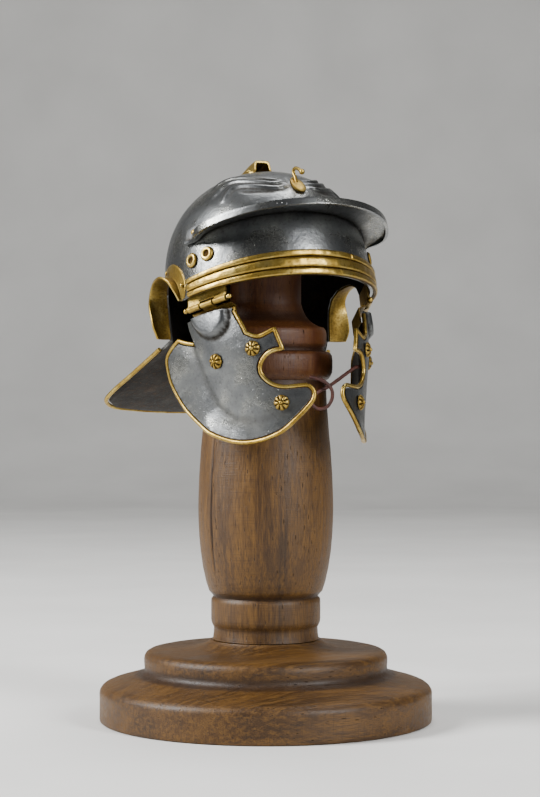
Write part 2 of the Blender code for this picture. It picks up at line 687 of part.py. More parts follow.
def hinge_leaf(name, side, path, curl, knuckles, seat):
    """A leaf with rolled knuckles: the path is its flat part, the curl goes round the pin."""
    front, rear, along, outward = hinge_axis()
    length = (rear - front).length
    up = Vector((0, 0, 1))
    shapes = [(strip_section(path, HINGE_WALL), 0.0, 1.0)]
    shapes += [(strip_section(curl, HINGE_WALL * 0.94), start, end) for start, end in knuckles]
    pieces = []
    for k, (section, start, end) in enumerate(shapes):
        points = []
        for share in (start, end):
            origin = front + along * length * share
            points += [mirrored(origin + outward * p.x + up * p.y, side) for p in section]
        size = len(section)
        faces = [(j, (j + 1) % size, (j + 1) % size + size, j + size) for j in range(size)]
        faces += [tuple(reversed(range(size))), tuple(range(size, 2 * size))]
        mesh = mesh_from(f"{name}_{k}", points, faces)
        shape = bmesh.new()
        shape.from_mesh(mesh)
        bmesh.ops.recalc_face_normals(shape, faces=shape.faces)
        shape.to_mesh(mesh)
        shape.free()
        pieces.append(mesh)
    leaf = add_object(name, pieces[0], BRASS, seat)
    for mesh in pieces[1:]:
        knuckle = bpy.data.objects.new(mesh.name, mesh)
        bpy.context.scene.collection.objects.link(knuckle)
        knuckle.parent = seat
        knuckle.hide_render = True
        knuckle.display_type = "WIRE"
        join = leaf.modifiers.new("knuckle", "BOOLEAN")
        join.operation = "UNION"
        join.object = knuckle


def hinge(side, label, seat):
    """Upper leaf inside the bowl, lower leaf inside the cheek guard, and the pin."""
    roll = HINGE_PIN_RADIUS + HINGE_PLAY + HINGE_WALL / 2
    behind_bowl = -(HINGE_STAND_OFF + SHEET + FIT + HINGE_WALL)
    foot = -HINGE_LEAF_FALL
    bend = -(CHEEK_OUTLINE[0][1] * CHEEK_DROP - HINGE_DROP) + 0.5 * MM
    clear = roll + HINGE_WALL + FIT
    upper = [Vector((behind_bowl, rise)) for rise in (HINGE_LEAF_RISE, 2 * clear, clear)]
    lower = [
        Vector((cheek_inset(foot), foot)), Vector((cheek_inset(bend), bend)),
        Vector((-clear, -0.75 * MM)),
    ]
    turns = [math.radians(90 - 300 * k / 9) for k in range(10)]
    over = [Vector((roll * math.cos(t), roll * math.sin(t))) for t in turns]
    under = [lower[1].lerp(lower[2], 0.5)] + [Vector((p.x, -p.y)) for p in over]
    over = [upper[1].lerp(upper[2], 0.5)] + over
    hinge_leaf(f"hinge_upper_{label}", side, upper, over, ((0.01, 0.32), (0.68, 0.99)), seat)
    hinge_leaf(f"hinge_lower_{label}", side, lower, under, ((0.345, 0.655),), seat)
    front, rear, along, outward = hinge_axis()
    ball = HINGE_BALL_RADIUS
    reach = (rear - front).length / 2 + FIT
    half = [(0.0, reach + 1.9 * ball), (0.7 * ball, reach + 1.6 * ball), (ball, reach + ball)]
    half += [(0.8 * ball, reach + 0.4 * ball), (HINGE_PIN_RADIUS, reach)]
    profile = [(r, -z) for r, z in half] + [(r, z) for r, z in reversed(half)]
    middle = mirrored((front + rear) / 2, side)
    turned_on(f"hinge_pin_{label}", middle, mirrored(along, side), profile, 8, BRASS, seat)


def crest_holder(seat):
    """Open ended brass box on the crown, with a riveted flange on each side."""
    points = []
    for k in range(CREST_ROWS):
        share = k / (CREST_ROWS - 1)
        y = CREST_FRONT + CREST_LENGTH * share
        top = CREST_HEIGHT + (CREST_REAR_HEIGHT - CREST_HEIGHT) * share
        half = [(0.0, top), (CREST_TOP_HALF, top), (CREST_FOOT_HALF, BRASS_SHEET), (CREST_FLANGE_HALF, 0.0)]
        section = [(-x, z) for x, z in reversed(half[1:])] + half
        for x, z in section:
            points.append((x, y, crown_height(x, y) + z + FIT))
    size = len(section)
    faces = []
    for k in range(CREST_ROWS - 1):
        for j in range(size - 1):
            a, b = k * size + j, (k + 1) * size + j
            faces.append((a, a + 1, b + 1, b))
    box = add_object("crest_holder", mesh_from("crest_holder", points, faces), BRASS, seat)
    thicken(box, BRASS_SHEET, True)
    inset = (CREST_FLANGE_HALF + CREST_FOOT_HALF) / 2
    places = [(x, CREST_FRONT + CREST_LENGTH * share) for share in (0.12, 0.88) for x in (-inset, inset)]
    for k, (x, y) in enumerate(places):
        foot = Vector((x, y, crown_height(x, y) + 2 * FIT + BRASS_SHEET * 1.2))
        profile = rivet_profile(RIVET_RADIUS, RIVET_HEIGHT)
        turned_on(f"crest_rivet_{k + 1}", foot, crown_normal(x, y), profile, 8, BRASS, seat)


def crown_normal(x, y):
    """Upward direction of the bowl's face over a spot of its plan."""
    step = 0.1 * MM
    slope_x = (crown_height(x + step, y) - crown_height(x - step, y)) / (2 * step)
    slope_y = (crown_height(x, y + step) - crown_height(x, y - step)) / (2 * step)
    return Vector((-slope_x, -slope_y, 1)).normalized()


def crown_height(x, y):
    """Height of the bowl's outer face over a spot of its plan."""
    share = (x / BOWL_HALF_WIDTH) ** 2 + (y / BOWL_HALF_LENGTH) ** 2
    return BOWL_HEIGHT * (1 - share) ** (1 / BOWL_FULLNESS)


def crest_hook(seat):
    """Leaf shaped plate on the brow with a forward curled hook and its ball."""
    sides = 12
    plate = []
    for lift in (FIT, FIT + BRASS_SHEET):
        for k in range(sides):
            turn = 2 * math.pi * k / sides
            x = HOOK_LEAF_WIDTH / 2 * math.sin(turn) * (1 - 0.25 * math.cos(turn))
            y = HOOK_LEAF_Y + HOOK_LEAF_LENGTH / 2 * 0.8 * math.cos(turn)
            plate.append(on_bowl(Vector((x, y, crown_height(x, y))), 0.0) + bowl_normal(0, crown_height(x, y)) * lift)
    faces = [(k, (k + 1) % sides, (k + 1) % sides + sides, k + sides) for k in range(sides)]
    faces += [tuple(reversed(range(sides))), tuple(range(sides, 2 * sides))]
    leaf_mesh = outward_mesh("crest_hook_front", plate, faces)
    leaf = add_object("crest_hook_front", leaf_mesh, BRASS, seat)
    route = []
    for ahead, lift in HOOK_ROUTE:
        y = HOOK_LEAF_Y + ahead * MM
        base = bowl_point(0, crown_height(0, y))
        route.append(base + bowl_normal(0, base.z) * lift * MM)
    route[0] = bowl_point(0, crown_height(0, HOOK_LEAF_Y), FIT + BRASS_SHEET * 0.4)
    points, wire_faces = sweep(smooth_route(route, 0.7 * MM), round_section(HOOK_WIRE_RADIUS, 6),
                               sideways=True)
    wire = bpy.data.objects.new("hook_wire", outward_mesh("hook_wire", points, wire_faces))
    ball_mesh = bpy.data.meshes.new("hook_ball")
    shape = bmesh.new()
    bmesh.ops.create_icosphere(shape, subdivisions=1, radius=HOOK_BALL_RADIUS, matrix=Matrix.Translation(route[-1]))
    shape.to_mesh(ball_mesh)
    shape.free()
    ball = bpy.data.objects.new("hook_ball", ball_mesh)
    for piece in (wire, ball):
        bpy.context.scene.collection.objects.link(piece)
        piece.parent = seat
        piece.hide_render = True
        piece.display_type = "WIRE"
        join = leaf.modifiers.new("join", "BOOLEAN")
        join.operation = "UNION"
        join.object = piece


def outward_mesh(name, points, faces):
    """A closed mesh with its faces turned outward."""
    mesh = mesh_from(name, points, faces)
    shape = bmesh.new()
    shape.from_mesh(mesh)
    bmesh.ops.recalc_face_normals(shape, faces=shape.faces)
    shape.to_mesh(mesh)
    shape.free()
    return mesh


def chin_tie(seat):
    """Leather thong between the cheek guards."""
    route = [Vector(p) * MM for p in TIE_ROUTE]
    points, faces = sweep(smooth_route(route, 1.3 * MM), round_section(TIE_RADIUS, 6))
    add_object("chin_tie", outward_mesh("chin_tie", points, faces), LEATHER, seat)


def small_fittings(seat):
    """Rosettes, eyelets and rivets on both sides."""
    for side, label in ((1, "right"), (-1, "left")):
        for k, row in enumerate(ROSETTE_PLACES):
            spot = cheek_unrolled(*row)
            place = mirrored(cheek_point(spot, FIT), side)
            normal = mirrored(cheek_normal(spot), side)
            r, h = ROSETTE_RADIUS, ROSETTE_HEIGHT
            profile = ((0, 0), (r, 0), (0.88 * r, 0.6 * h), (0.5 * r, 0.92 * h), (0, h))
            turned_on(f"cheek_rosette_{label}_{k + 1}", place, normal, profile, 10, BRASS, seat)
        for k, (angle, height) in enumerate(EYELET_PLACES):
            place = mirrored(bowl_point(angle, height, FIT), side)
            normal = mirrored(bowl_normal(angle, height), side)
            r, hole, h = EYELET_RADIUS, EYELET_HOLE, EYELET_HEIGHT
            profile = ((0, 0), (r, 0), (r, 0.5 * h), (0.8 * r, h), (1.2 * hole, h), (hole, 0.4 * h), (0, 0.4 * h))
            turned_on(f"eyelet_{label}_{k + 1}", place, normal, profile, 10, BRASS, seat)
        angle = BROW_RIVET_ANGLE
        height = between(BROW_SECTIONS, angle)[0] * BROW_HEIGHT + BROW_RIVET_RISE * BROW_FLANGE
        place = mirrored(bowl_point(angle, height, 2 * FIT + SHEET), side)
        normal = mirrored(bowl_normal(angle, height), side)
        turned_on(f"brow_guard_rivet_{label}", place, normal, rivet_profile(RIVET_RADIUS, RIVET_HEIGHT), 8, BRASS, seat)
        here = neck_point(NECK_RIVET_ANGLE, NECK_RIVET_SHARE)
        step = neck_point(NECK_RIVET_ANGLE, NECK_RIVET_SHARE + 0.05) - here
        across = neck_point(NECK_RIVET_ANGLE + 3, NECK_RIVET_SHARE) - here
        normal = across.cross(step).normalized()
        if normal.z < 0:
            normal = -normal
        place = mirrored(here + normal * 2 * FIT, side)
        turned_on(f"neck_guard_rivet_{label}", place, mirrored(normal, side),
                  rivet_profile(1.3 * RIVET_RADIUS, 1.6 * RIVET_HEIGHT), 8, BRASS, seat)


def stand():
    """Turned base and turned column, whose round head carries the bowl."""
    base = [(r * STAND_BASE_RADIUS, z * STAND_BASE_HEIGHT) for r, z in BASE_PROFILE]
    lathe("stand_base", base, 36, WOOD)
    foot = STAND_BASE_HEIGHT + FIT
    column = [(r * COLUMN_RADIUS, foot + z * COLUMN_HEIGHT) for r, z in COLUMN_PROFILE]
    lip_radius, lip_height = column[-1]
    for inward, rise in NECK_SWEEP:
        column.append((lip_radius + (NECK_POST_RADIUS - lip_radius) * inward, lip_height + rise * NECK_SWEEP_RISE))
    crown = Vector((RIM_SHIFT, 0.0))
    inner = BOWL_HEIGHT - SHEET
    middle = -crown.x / math.cos(HELMET_TILT) - inner * math.tan(HELMET_TILT)
    under = inner * (1 - (middle / BOWL_HALF_LENGTH) ** 2) ** (1 / BOWL_FULLNESS)
    ceiling = RIM_HEIGHT - middle * math.sin(HELMET_TILT) + under * math.cos(HELMET_TILT)
    centre = ceiling - (HEAD_RADIUS + HEAD_CLEARANCE) / math.cos(HELMET_TILT)
    column.append((NECK_POST_RADIUS, centre - HEAD_RADIUS * 0.9))
    for k in range(6):
        turn = math.radians(-30 + 20 * k)
        column.append((HEAD_RADIUS * math.cos(turn), centre + HEAD_RADIUS * math.sin(turn)))
    column.append((0.0, centre + HEAD_RADIUS))
    lathe("stand_column", column, 24, WOOD)


def build():
    """Model the whole object."""
    for thing in list(bpy.data.objects):
        bpy.data.objects.remove(thing)
    seat = bpy.data.objects.new("helmet_seat", None)
    bpy.context.scene.collection.objects.link(seat)
    seat.location = (0, RIM_SHIFT, RIM_HEIGHT)
    seat.rotation_euler = (-HELMET_TILT, 0, 0)
    stand()
    skull_bowl(seat)
    neck_edging(seat)
    brow_band(seat)
    brow_guard(seat)
    crest_holder(seat)
    crest_hook(seat)
    for side, label in ((1, "right"), (-1, "left")):
        ear_guard(side, f"ear_guard_{label}", seat)
        cheek_plate(side, f"cheek_plate_{label}", seat)
        cheek_edging(side, f"cheek_edging_{label}", seat)
        hinge(side, label, seat)
    small_fittings(seat)
    chin_tie(seat)


build()
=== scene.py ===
# %% [markdown]
# # A miniature legionary helmet on its turned stand
# The CAD frame gives sizes, collision and mass. This lesson builds what the eye sees: raised
# and tinned iron sheet, antiqued brass trim, a leather thong and an oiled, open-pored stand.
# Everything on the helmet is modelled in the helmet's own frame (z = 0 at the brow band's lower
# edge, the face towards -Y) and is then tilted back onto the stand by one matrix.

# %% Frame
import math

import bmesh
import bpy
from mathutils import Matrix, Vector, noise
from mathutils.geometry import delaunay_2d_cdt


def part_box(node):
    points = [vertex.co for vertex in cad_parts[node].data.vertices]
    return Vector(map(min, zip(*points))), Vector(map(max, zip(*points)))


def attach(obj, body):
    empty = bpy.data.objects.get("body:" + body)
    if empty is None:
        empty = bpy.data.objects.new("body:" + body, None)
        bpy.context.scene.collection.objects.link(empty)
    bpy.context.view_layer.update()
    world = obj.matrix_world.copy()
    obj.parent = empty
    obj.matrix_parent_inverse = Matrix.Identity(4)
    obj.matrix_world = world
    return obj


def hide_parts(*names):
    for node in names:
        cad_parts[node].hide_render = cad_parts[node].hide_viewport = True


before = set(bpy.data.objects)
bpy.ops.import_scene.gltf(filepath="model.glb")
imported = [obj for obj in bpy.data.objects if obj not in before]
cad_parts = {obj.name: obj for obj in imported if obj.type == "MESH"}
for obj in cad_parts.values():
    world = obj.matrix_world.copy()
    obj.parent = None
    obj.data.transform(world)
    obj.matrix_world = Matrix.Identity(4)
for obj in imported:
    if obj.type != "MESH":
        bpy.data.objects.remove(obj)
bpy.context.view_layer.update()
MM = 0.001
SEAT = Matrix.Translation((0, -1.7 * MM, 71.9 * MM)) @ Matrix.Rotation(math.radians(-14.2), 4, "X")

# %% [markdown]
# ## Camera
# The photograph is taken level, from the wearer's right of the face, about 360 mm away.

# %% Camera
VIEW_AZIMUTH = math.radians(27)
VIEW_DISTANCE = 360 * MM
VIEW_HEIGHT = 56 * MM
camera_data = bpy.data.cameras.new("photo camera")
camera_data.lens = 93.0
camera_data.sensor_width = 36.0
camera_data.shift_x = 0.0053
camera_data.clip_start = 0.01
camera = bpy.data.objects.new("photo camera", camera_data)
towards_camera = Vector((-math.sin(VIEW_AZIMUTH), -math.cos(VIEW_AZIMUTH), 0))
camera.location = towards_camera * VIEW_DISTANCE + Vector((0, 0, VIEW_HEIGHT))
camera.rotation_euler = (math.pi / 2, 0, -VIEW_AZIMUTH)
bpy.context.scene.collection.objects.link(camera)
bpy.context.scene.camera = camera
print("camera at", [round(v * 1000) for v in camera.location], "mm")


# %% [markdown]
# ## Node helpers
# Colours are read as sRGB hex from the object and turned into linear light once. `add` places a
# node with its settings, its values and its links in one line.

# %% Helpers for materials
def linear(code):
    """Linear colour from an sRGB hex code."""
    channels = [int(code[k:k + 2], 16) / 255 for k in (1, 3, 5)]
    return tuple(c / 12.92 if c <= 0.04045 else ((c + 0.055) / 1.055) ** 2.4 for c in channels) + (1.0,)


def add(tree, kind, links=(), values=(), **settings):
    """A node with settings, socket values and incoming links."""
    node = tree.nodes.new(kind)
    for key, value in settings.items():
        setattr(node, key, value)
    for socket, value in dict(values).items():
        node.inputs[socket].default_value = value
    for socket, source in dict(links).items():
        tree.links.new(source, node.inputs[socket])
    return node


def start_material(name):
    """An empty material with its object coordinates in millimetres."""
    made = bpy.data.materials.new(name)
    made.use_nodes = True
    tree = made.node_tree
    tree.nodes.clear()
    coords = add(tree, "ShaderNodeTexCoord")
    return made, tree, stretched(tree, coords.outputs["Object"], (1 / MM, 1 / MM, 1 / MM))


def stretched(tree, place, scale):
    """Coordinates times a scale for each axis: a small one draws the pattern out along it."""
    return add(tree, "ShaderNodeMapping", {"Vector": place}, {"Scale": scale}).outputs["Vector"]


def cells(tree, place, scale):
    """Distance to the nearest of randomly strewn spots."""
    values = {"Scale": scale, "Randomness": 1.0}
    return add(tree, "ShaderNodeTexVoronoi", {"Vector": place}, values).outputs["Distance"]


def recess_of(tree):
    """Grime and painted shade in the hollows, stored on the mesh."""
    return add(tree, "ShaderNodeAttribute", attribute_name="recess").outputs["Fac"]


def noise_of(tree, place, scale, detail=4.0, roughness=0.55, distortion=0.0):
    """Fractal noise."""
    values = {"Scale": scale, "Detail": detail, "Roughness": roughness, "Distortion": distortion}
    return add(tree, "ShaderNodeTexNoise", {"Vector": place}, values).outputs["Fac"]


def ramp(tree, source, *stops):
    """A colour ramp from (position, hex code) stops."""
    node = add(tree, "ShaderNodeValToRGB", {"Fac": source})
    elements = node.color_ramp.elements
    while len(elements) < len(stops):
        elements.new(0.5)
    for element, (position, code) in zip(elements, stops):
        element.position = position
        element.color = linear(code)
    return node.outputs["Color"]


def graph(tree, source, low, high, out_low=0.0, out_high=1.0):
    """A smooth step from one range to another."""
    values = {"From Min": low, "From Max": high, "To Min": out_low, "To Max": out_high}
    node = add(tree, "ShaderNodeMapRange", {"Value": source}, values, interpolation_type="SMOOTHSTEP")
    return node.outputs["Result"]


def blend_colour(tree, factor, a, b):
    """A mix of two colours; a factor or a colour may be a constant."""
    node = add(tree, "ShaderNodeMix", data_type="RGBA")
    for index, value in ((0, factor), (6, a), (7, b)):
        if hasattr(value, "is_output"):
            tree.links.new(value, node.inputs[index])
        else:
            node.inputs[index].default_value = value
    return node.outputs[2]


def calc(tree, operation, a, b=0.0):
    """Arithmetic on two values."""
    node = add(tree, "ShaderNodeMath", operation=operation)
    for index, value in ((0, a), (1, b)):
        if hasattr(value, "is_output"):
            tree.links.new(value, node.inputs[index])
        else:
            node.inputs[index].default_value = value
    return node.outputs[0]


def bumps(tree, layers):
    """Bump nodes chained, from (height, depth in millimetres, strength) layers."""
    normal = None
    for height, depth, strength in layers:
        links = {"Height": height}
        if normal:
            links["Normal"] = normal
        values = {"Distance": depth * MM, "Strength": strength}
        normal = add(tree, "ShaderNodeBump", links, values).outputs["Normal"]
    return normal


def finish_material(made, tree, colour, roughness, metallic, normal, **extra):
    """Principled shader and output."""
    shader = add(tree, "ShaderNodeBsdfPrincipled", values={"Metallic": metallic, **extra})
    output = add(tree, "ShaderNodeOutputMaterial", {"Surface": shader.outputs["BSDF"]})
    for socket, value in (("Base Color", colour), ("Roughness", roughness), ("Normal", normal)):
        if hasattr(value, "is_output"):
            tree.links.new(value, shader.inputs[socket])
        elif value is not None:
            shader.inputs[socket].default_value = value
    return made


# %% [markdown]
# ## Tinned iron
# Hot-dipped tin over hammered iron: a satin grey with fine pitting, soft clouding where it was
# wiped, fine scratches, and grey-brown oxide with painted shade in every recess. The `recess`
# attribute is painted on the mesh while it is built, so grime and shade follow the real folds.

# %% Metals
def tinned_iron():
    """Satin tin, pitted and clouded."""
    made, tree, place = start_material("hot-dipped tin on iron")
    cloud = noise_of(tree, place, 0.16, 5, 0.6)
    grain = noise_of(tree, place, 1.9, 6, 0.7)
    fine = noise_of(tree, place, 9.0, 3, 0.6)
    pits = graph(tree, cells(tree, place, 1.15), 0.16, 0.05)
    pit_mask = calc(tree, "MULTIPLY", pits, graph(tree, noise_of(tree, place, 0.35), 0.52, 0.66))
    # Darkening from the recess attribute towards #27231e: grime and painted shade in the hollows.
    grime_and_shade = calc(tree, "MULTIPLY", recess_of(tree), graph(tree, grain, 0.15, 0.6, 0.55, 1.0))
    scratch = noise_of(tree, stretched(tree, place, (0.5, 0.5, 9.0)), 1.6, 2, 0.5)
    base = ramp(tree, cloud, (0.3, "#5c5e60"), (0.5, "#747676"), (0.72, "#95958f"))
    stained = blend_colour(tree, graph(tree, grain, 0.5, 0.72, 0.0, 0.6), base, linear("#474643"))
    pitted = blend_colour(tree, calc(tree, "MULTIPLY", pit_mask, 0.8), stained, linear("#4b4740"))
    colour = blend_colour(tree, grime_and_shade, pitted, linear("#27231e"))
    rough = calc(tree, "ADD", graph(tree, cloud, 0.3, 0.7, 0.34, 0.24), calc(tree, "MULTIPLY", grime_and_shade, 0.25))
    rough = calc(tree, "ADD", rough, graph(tree, grain, 0.45, 0.75, 0.0, 0.1))
    normal = bumps(tree, (
        (noise_of(tree, place, 0.42, 3, 0.5), 0.16, 0.6), (grain, 0.05, 0.7), (fine, 0.012, 0.6),
        (calc(tree, "MULTIPLY", pit_mask, -1.0), 0.12, 0.9), (scratch, 0.004, 0.35),
    ))
    return finish_material(made, tree, colour, rough, 1.0, normal)


def antiqued_brass():
    """Cast and rolled brass with a brown patina wiped off the high parts."""
    made, tree, place = start_material("antiqued brass")
    cloud = noise_of(tree, place, 0.3, 4, 0.6)
    grain = noise_of(tree, place, 2.6, 6, 0.7)
    wash = calc(tree, "MULTIPLY", recess_of(tree), graph(tree, grain, 0.1, 0.55, 0.6, 1.0))
    base = ramp(tree, cloud, (0.3, "#9a7c34"), (0.5, "#b6984a"), (0.72, "#cfb86c"))
    spotted = blend_colour(tree, graph(tree, grain, 0.5, 0.68, 0.0, 0.75), base, linear("#6b4e1f"))
    colour = blend_colour(tree, wash, spotted, linear("#2c1c0d"))
    rough = calc(tree, "ADD", graph(tree, cloud, 0.3, 0.7, 0.36, 0.28), calc(tree, "MULTIPLY", wash, 0.35))
    normal = bumps(tree, ((noise_of(tree, place, 0.9, 3, 0.5), 0.09, 0.6), (grain, 0.04, 0.7)))
    return finish_material(made, tree, colour, rough, 1.0, normal)


def raw_iron():
    """The untinned inner face: dark, dry oxide, with painted shade in its near-black tones."""
    made, tree, place = start_material("oxidised iron with painted shade")
    grain = noise_of(tree, place, 1.4, 6, 0.7)
    patch = noise_of(tree, place, 0.25, 4, 0.6)
    # Near-black ramp: the oxide's own colour with painted shade for the shadowed inner faces.
    base = ramp(tree, patch, (0.35, "#1d1b19"), (0.6, "#2f2b27"), (0.8, "#46372a"))
    colour = blend_colour(tree, graph(tree, grain, 0.5, 0.7, 0.0, 0.6), base, linear("#5a4634"))
    normal = bumps(tree, ((grain, 0.06, 0.7), (noise_of(tree, place, 0.5, 3), 0.15, 0.6)))
    return finish_material(made, tree, colour, graph(tree, grain, 0.3, 0.7, 0.5, 0.68), 0.85, normal)


TIN = tinned_iron()
RAW_IRON = raw_iron()
BRASS = antiqued_brass()
print("metals:", TIN.name, "/", BRASS.name)


# %% [markdown]
# ## Wood and leather
# The stand is a mid-brown hardwood with open pores: dark dashes along the grain on the turned
# sides, dots where the end grain shows. It grows redder and darker up the neck, partly its own
# tone and partly painted shade. Grain runs up the column and across the base's plank, and faint
# tool marks hold some of the stain.

# %% Wood and leather
def hardwood(name, along, tool_stretch):
    """Oiled, open-pored hardwood with its grain along one axis, and tool marks across it."""
    made, tree, place = start_material(name)

    def drawn_out(lengthwise, across):
        return stretched(tree, place, tuple(lengthwise if k == along else across for k in range(3)))

    figure = drawn_out(0.07, 1.0)
    rings = noise_of(tree, drawn_out(0.02, 0.22), 1.0, 4, 0.6, 0.6)
    streak = noise_of(tree, figure, 1.6, 5, 0.65, 0.3)
    fine = noise_of(tree, figure, 6.0, 3, 0.6)
    pores = graph(tree, cells(tree, drawn_out(0.16, 1.0), 2.1), 0.2, 0.08)
    open_pores = calc(tree, "MULTIPLY", pores, graph(tree, streak, 0.42, 0.56))
    base = ramp(tree, rings, (0.25, "#241606"), (0.45, "#40290c"), (0.6, "#533813"), (0.8, "#2e1c08"))
    toned = blend_colour(tree, graph(tree, streak, 0.4, 0.66, 0.0, 0.6), base, linear("#69491a"))
    dark = blend_colour(tree, graph(tree, fine, 0.46, 0.66, 0.0, 0.6), toned, linear("#261303"))
    height = add(tree, "ShaderNodeSeparateXYZ", {"Vector": place}).outputs["Z"]
    # Redder and darker up the column and neck: partly the wood's own redder tone, partly painted shade under
    # the helmet.
    redder_and_shaded = blend_colour(tree, graph(tree, height, 50.0, 64.0, 0.0, 0.45), dark, linear("#4f2012"))
    pored = blend_colour(tree, calc(tree, "MULTIPLY", open_pores, 0.85), redder_and_shaded, linear("#160b06"))
    stained = blend_colour(tree, recess_of(tree), pored, linear("#1c0f08"))
    dull_pores = calc(tree, "MULTIPLY", open_pores, 0.3)
    rough = calc(tree, "ADD", graph(tree, streak, 0.35, 0.65, 0.42, 0.55), dull_pores)
    tool_path = stretched(tree, place, tool_stretch)
    tool_marks = noise_of(tree, tool_path, 1.5, 3, 0.6)
    marked = graph(tree, tool_marks, 0.52, 0.7, 0.0, 0.4)
    colour = blend_colour(tree, marked, stained, linear("#2a1707"))
    sunk_pores = calc(tree, "MULTIPLY", open_pores, -1.0)
    normal = bumps(tree, ((fine, 0.07, 0.7), (tool_marks, 0.05, 0.7), (sunk_pores, 0.14, 1.0)))
    oil = {"Coat Weight": 0.05, "Coat Roughness": 0.4, "Specular IOR Level": 0.35}
    return finish_material(made, tree, colour, rough, 0.0, normal, **oil)


def thong_leather():
    """Red-brown vegetable-tanned leather, split from a hide."""
    made, tree, place = start_material("vegetable-tanned leather")
    grain = cells(tree, place, 6.0)
    tone = noise_of(tree, place, 1.2, 5, 0.65)
    colour = ramp(tree, tone, (0.3, "#250e08"), (0.55, "#42190e"), (0.75, "#5c2919"))
    normal = bumps(tree, ((tone, 0.05, 0.6), (grain, 0.03, 0.5)))
    return finish_material(made, tree, colour, graph(tree, tone, 0.3, 0.7, 0.7, 0.5), 0.0, normal)


COLUMN_WOOD = hardwood("oiled hardwood, grain upright", 2, (0.12, 0.12, 5.0))
BASE_WOOD = hardwood("oiled hardwood, grain across", 0, (3.0, 3.0, 0.2))
LEATHER = thong_leather()
print("wood and leather ready")


# %% [markdown]
# ## Mesh helpers
# `sheet_metal` gives a raised surface its wall and rounds its cut edge, as a file does.
# `declare` hands a finished piece to the frame with the CAD nodes that it stands for.

# %% Mesh helpers
def mesh_object(name, points, faces, recess=None):
    """An object at the origin from points and faces, with the grime attribute."""
    name = name.replace(" ", "_")
    mesh = bpy.data.meshes.new(name)
    mesh.from_pydata([tuple(p) for p in points], [], faces)
    mesh.validate()
    attribute = mesh.attributes.new("recess", "FLOAT", "POINT")
    if recess:
        attribute.data.foreach_set("value", [max(0.0, min(1.0, r)) for r in recess])
    made = bpy.data.objects.new(name, mesh)
    bpy.context.scene.collection.objects.link(made)
    return made


def baked(thing):
    """The object with its modifiers made real."""
    depsgraph = bpy.context.evaluated_depsgraph_get()
    mesh = bpy.data.meshes.new_from_object(thing.evaluated_get(depsgraph))
    old = thing.data
    thing.modifiers.clear()
    thing.data = mesh
    bpy.data.meshes.remove(old)
    return thing


def sheet_metal(thing, wall, outward, edge=0.08 * MM, dark_inside=False):
    """Wall thickness and a softened cut edge on an open surface."""
    for finish in (TIN, RAW_IRON) if dark_inside else ():
        thing.data.materials.append(finish)
    solid = thing.modifiers.new("wall", "SOLIDIFY")
    solid.thickness = wall
    solid.offset = 1.0 if outward else -1.0
    solid.use_even_offset = True
    solid.use_quality_normals = True
    solid.material_offset = 1 if dark_inside else 0
    if edge:
        soft = thing.modifiers.new("filed edge", "BEVEL")
        soft.width = edge
        soft.segments = 2
        soft.limit_method = "ANGLE"
        soft.angle_limit = math.radians(50)
    return baked(thing)


def outward_faces(mesh):
    """Faces turned outward on a closed mesh."""
    shape = bmesh.new()
    shape.from_mesh(mesh)
    bmesh.ops.remove_doubles(shape, verts=shape.verts, dist=1e-7)
    bmesh.ops.recalc_face_normals(shape, faces=shape.faces)
    shape.to_mesh(mesh)
    shape.free()


def declare(thing, finish, slot, *nodes, helmet=True, crease=35):
    """Place, smooth and attach a finished piece, and hide the CAD parts that it stands for."""
    if helmet:
        thing.data.transform(SEAT)
    outward_faces(thing.data)
    if len(thing.data.materials) < 2:
        thing.data.materials.clear()
        thing.data.materials.append(finish)
    thing.data.shade_smooth()
    thing.data.set_sharp_from_angle(angle=math.radians(crease))
    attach(thing, "root")
    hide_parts(*nodes)
    print(f"{thing.name}: {len(thing.data.polygons)} faces")
    return thing


def grid_faces(rows, columns, closed=False):
    """Quads of a grid stored row by row."""
    faces = []
    for i in range(rows - 1):
        for j in range(columns if closed else columns - 1):
            n = (j + 1) % columns
            faces.append((i * columns + j, i * columns + n, (i + 1) * columns + n, (i + 1) * columns + j))
    return faces


def sweep(route, section, ups=None, sideways=False):
    """A closed section carried along a route, with capped ends."""
    count = len(route)
    size = len(section)
    points = []
    for k, here in enumerate(route):
        along = (route[min(k + 1, count - 1)] - route[max(k - 1, 0)]).normalized()
        up = ups[k] if ups else Vector((1, 0, 0) if sideways else (0, 0, 1))
        side = along.cross(up).normalized()
        up = side.cross(along).normalized()
        points += [here + side * across + up * rise for across, rise in section]
    faces = grid_faces(count, size, True)
    faces += [tuple(reversed(range(size))), tuple(range((count - 1) * size, count * size))]
    return points, faces


def round_section(radius, sides=14):
    """A round section."""
    turns = [2 * math.pi * k / sides for k in range(sides)]
    return [(radius * math.cos(t), -radius * math.sin(t)) for t in turns]


def smooth(rows, steps):
    """Rows of numbers joined by a smooth curve, with some steps between each pair."""
    rows = [Vector(row) for row in rows]
    made = []
    for k in range(len(rows) - 1):
        p1, p2 = rows[k], rows[k + 1]
        p0 = rows[k - 1] if k else p1 * 2 - p2
        p3 = rows[k + 2] if k + 2 < len(rows) else p2 * 2 - p1
        for j in range(steps):
            t = j / steps
            square = (p0 * 2 - p1 * 5 + p2 * 4 - p3) * t ** 2
            cube = (p1 * 3 - p0 - p2 * 3 + p3) * t ** 3
            made.append(p1 + ((p2 - p0) * t + square + cube) / 2)
    made.append(rows[-1])
    return made


def between(rows, angle):
    """Values of a table at an angle."""
    for low, high in zip(rows, rows[1:]):
        if angle <= high[0]:
            t = max(0.0, (angle - low[0]) / (high[0] - low[0]))
            return [a + (b - a) * t for a, b in zip(low[1:], high[1:])]
    return list(rows[-1][1:])


def ease(value, low, high):
    """A smooth step."""
    t = max(0.0, min(1.0, (value - low) / (high - low)))
    return t * t * (3 - 2 * t)


def flip(point, side):
    """Mirror to the wearer's left when side is -1."""
    return Vector((point[0] * side, point[1], point[2]))


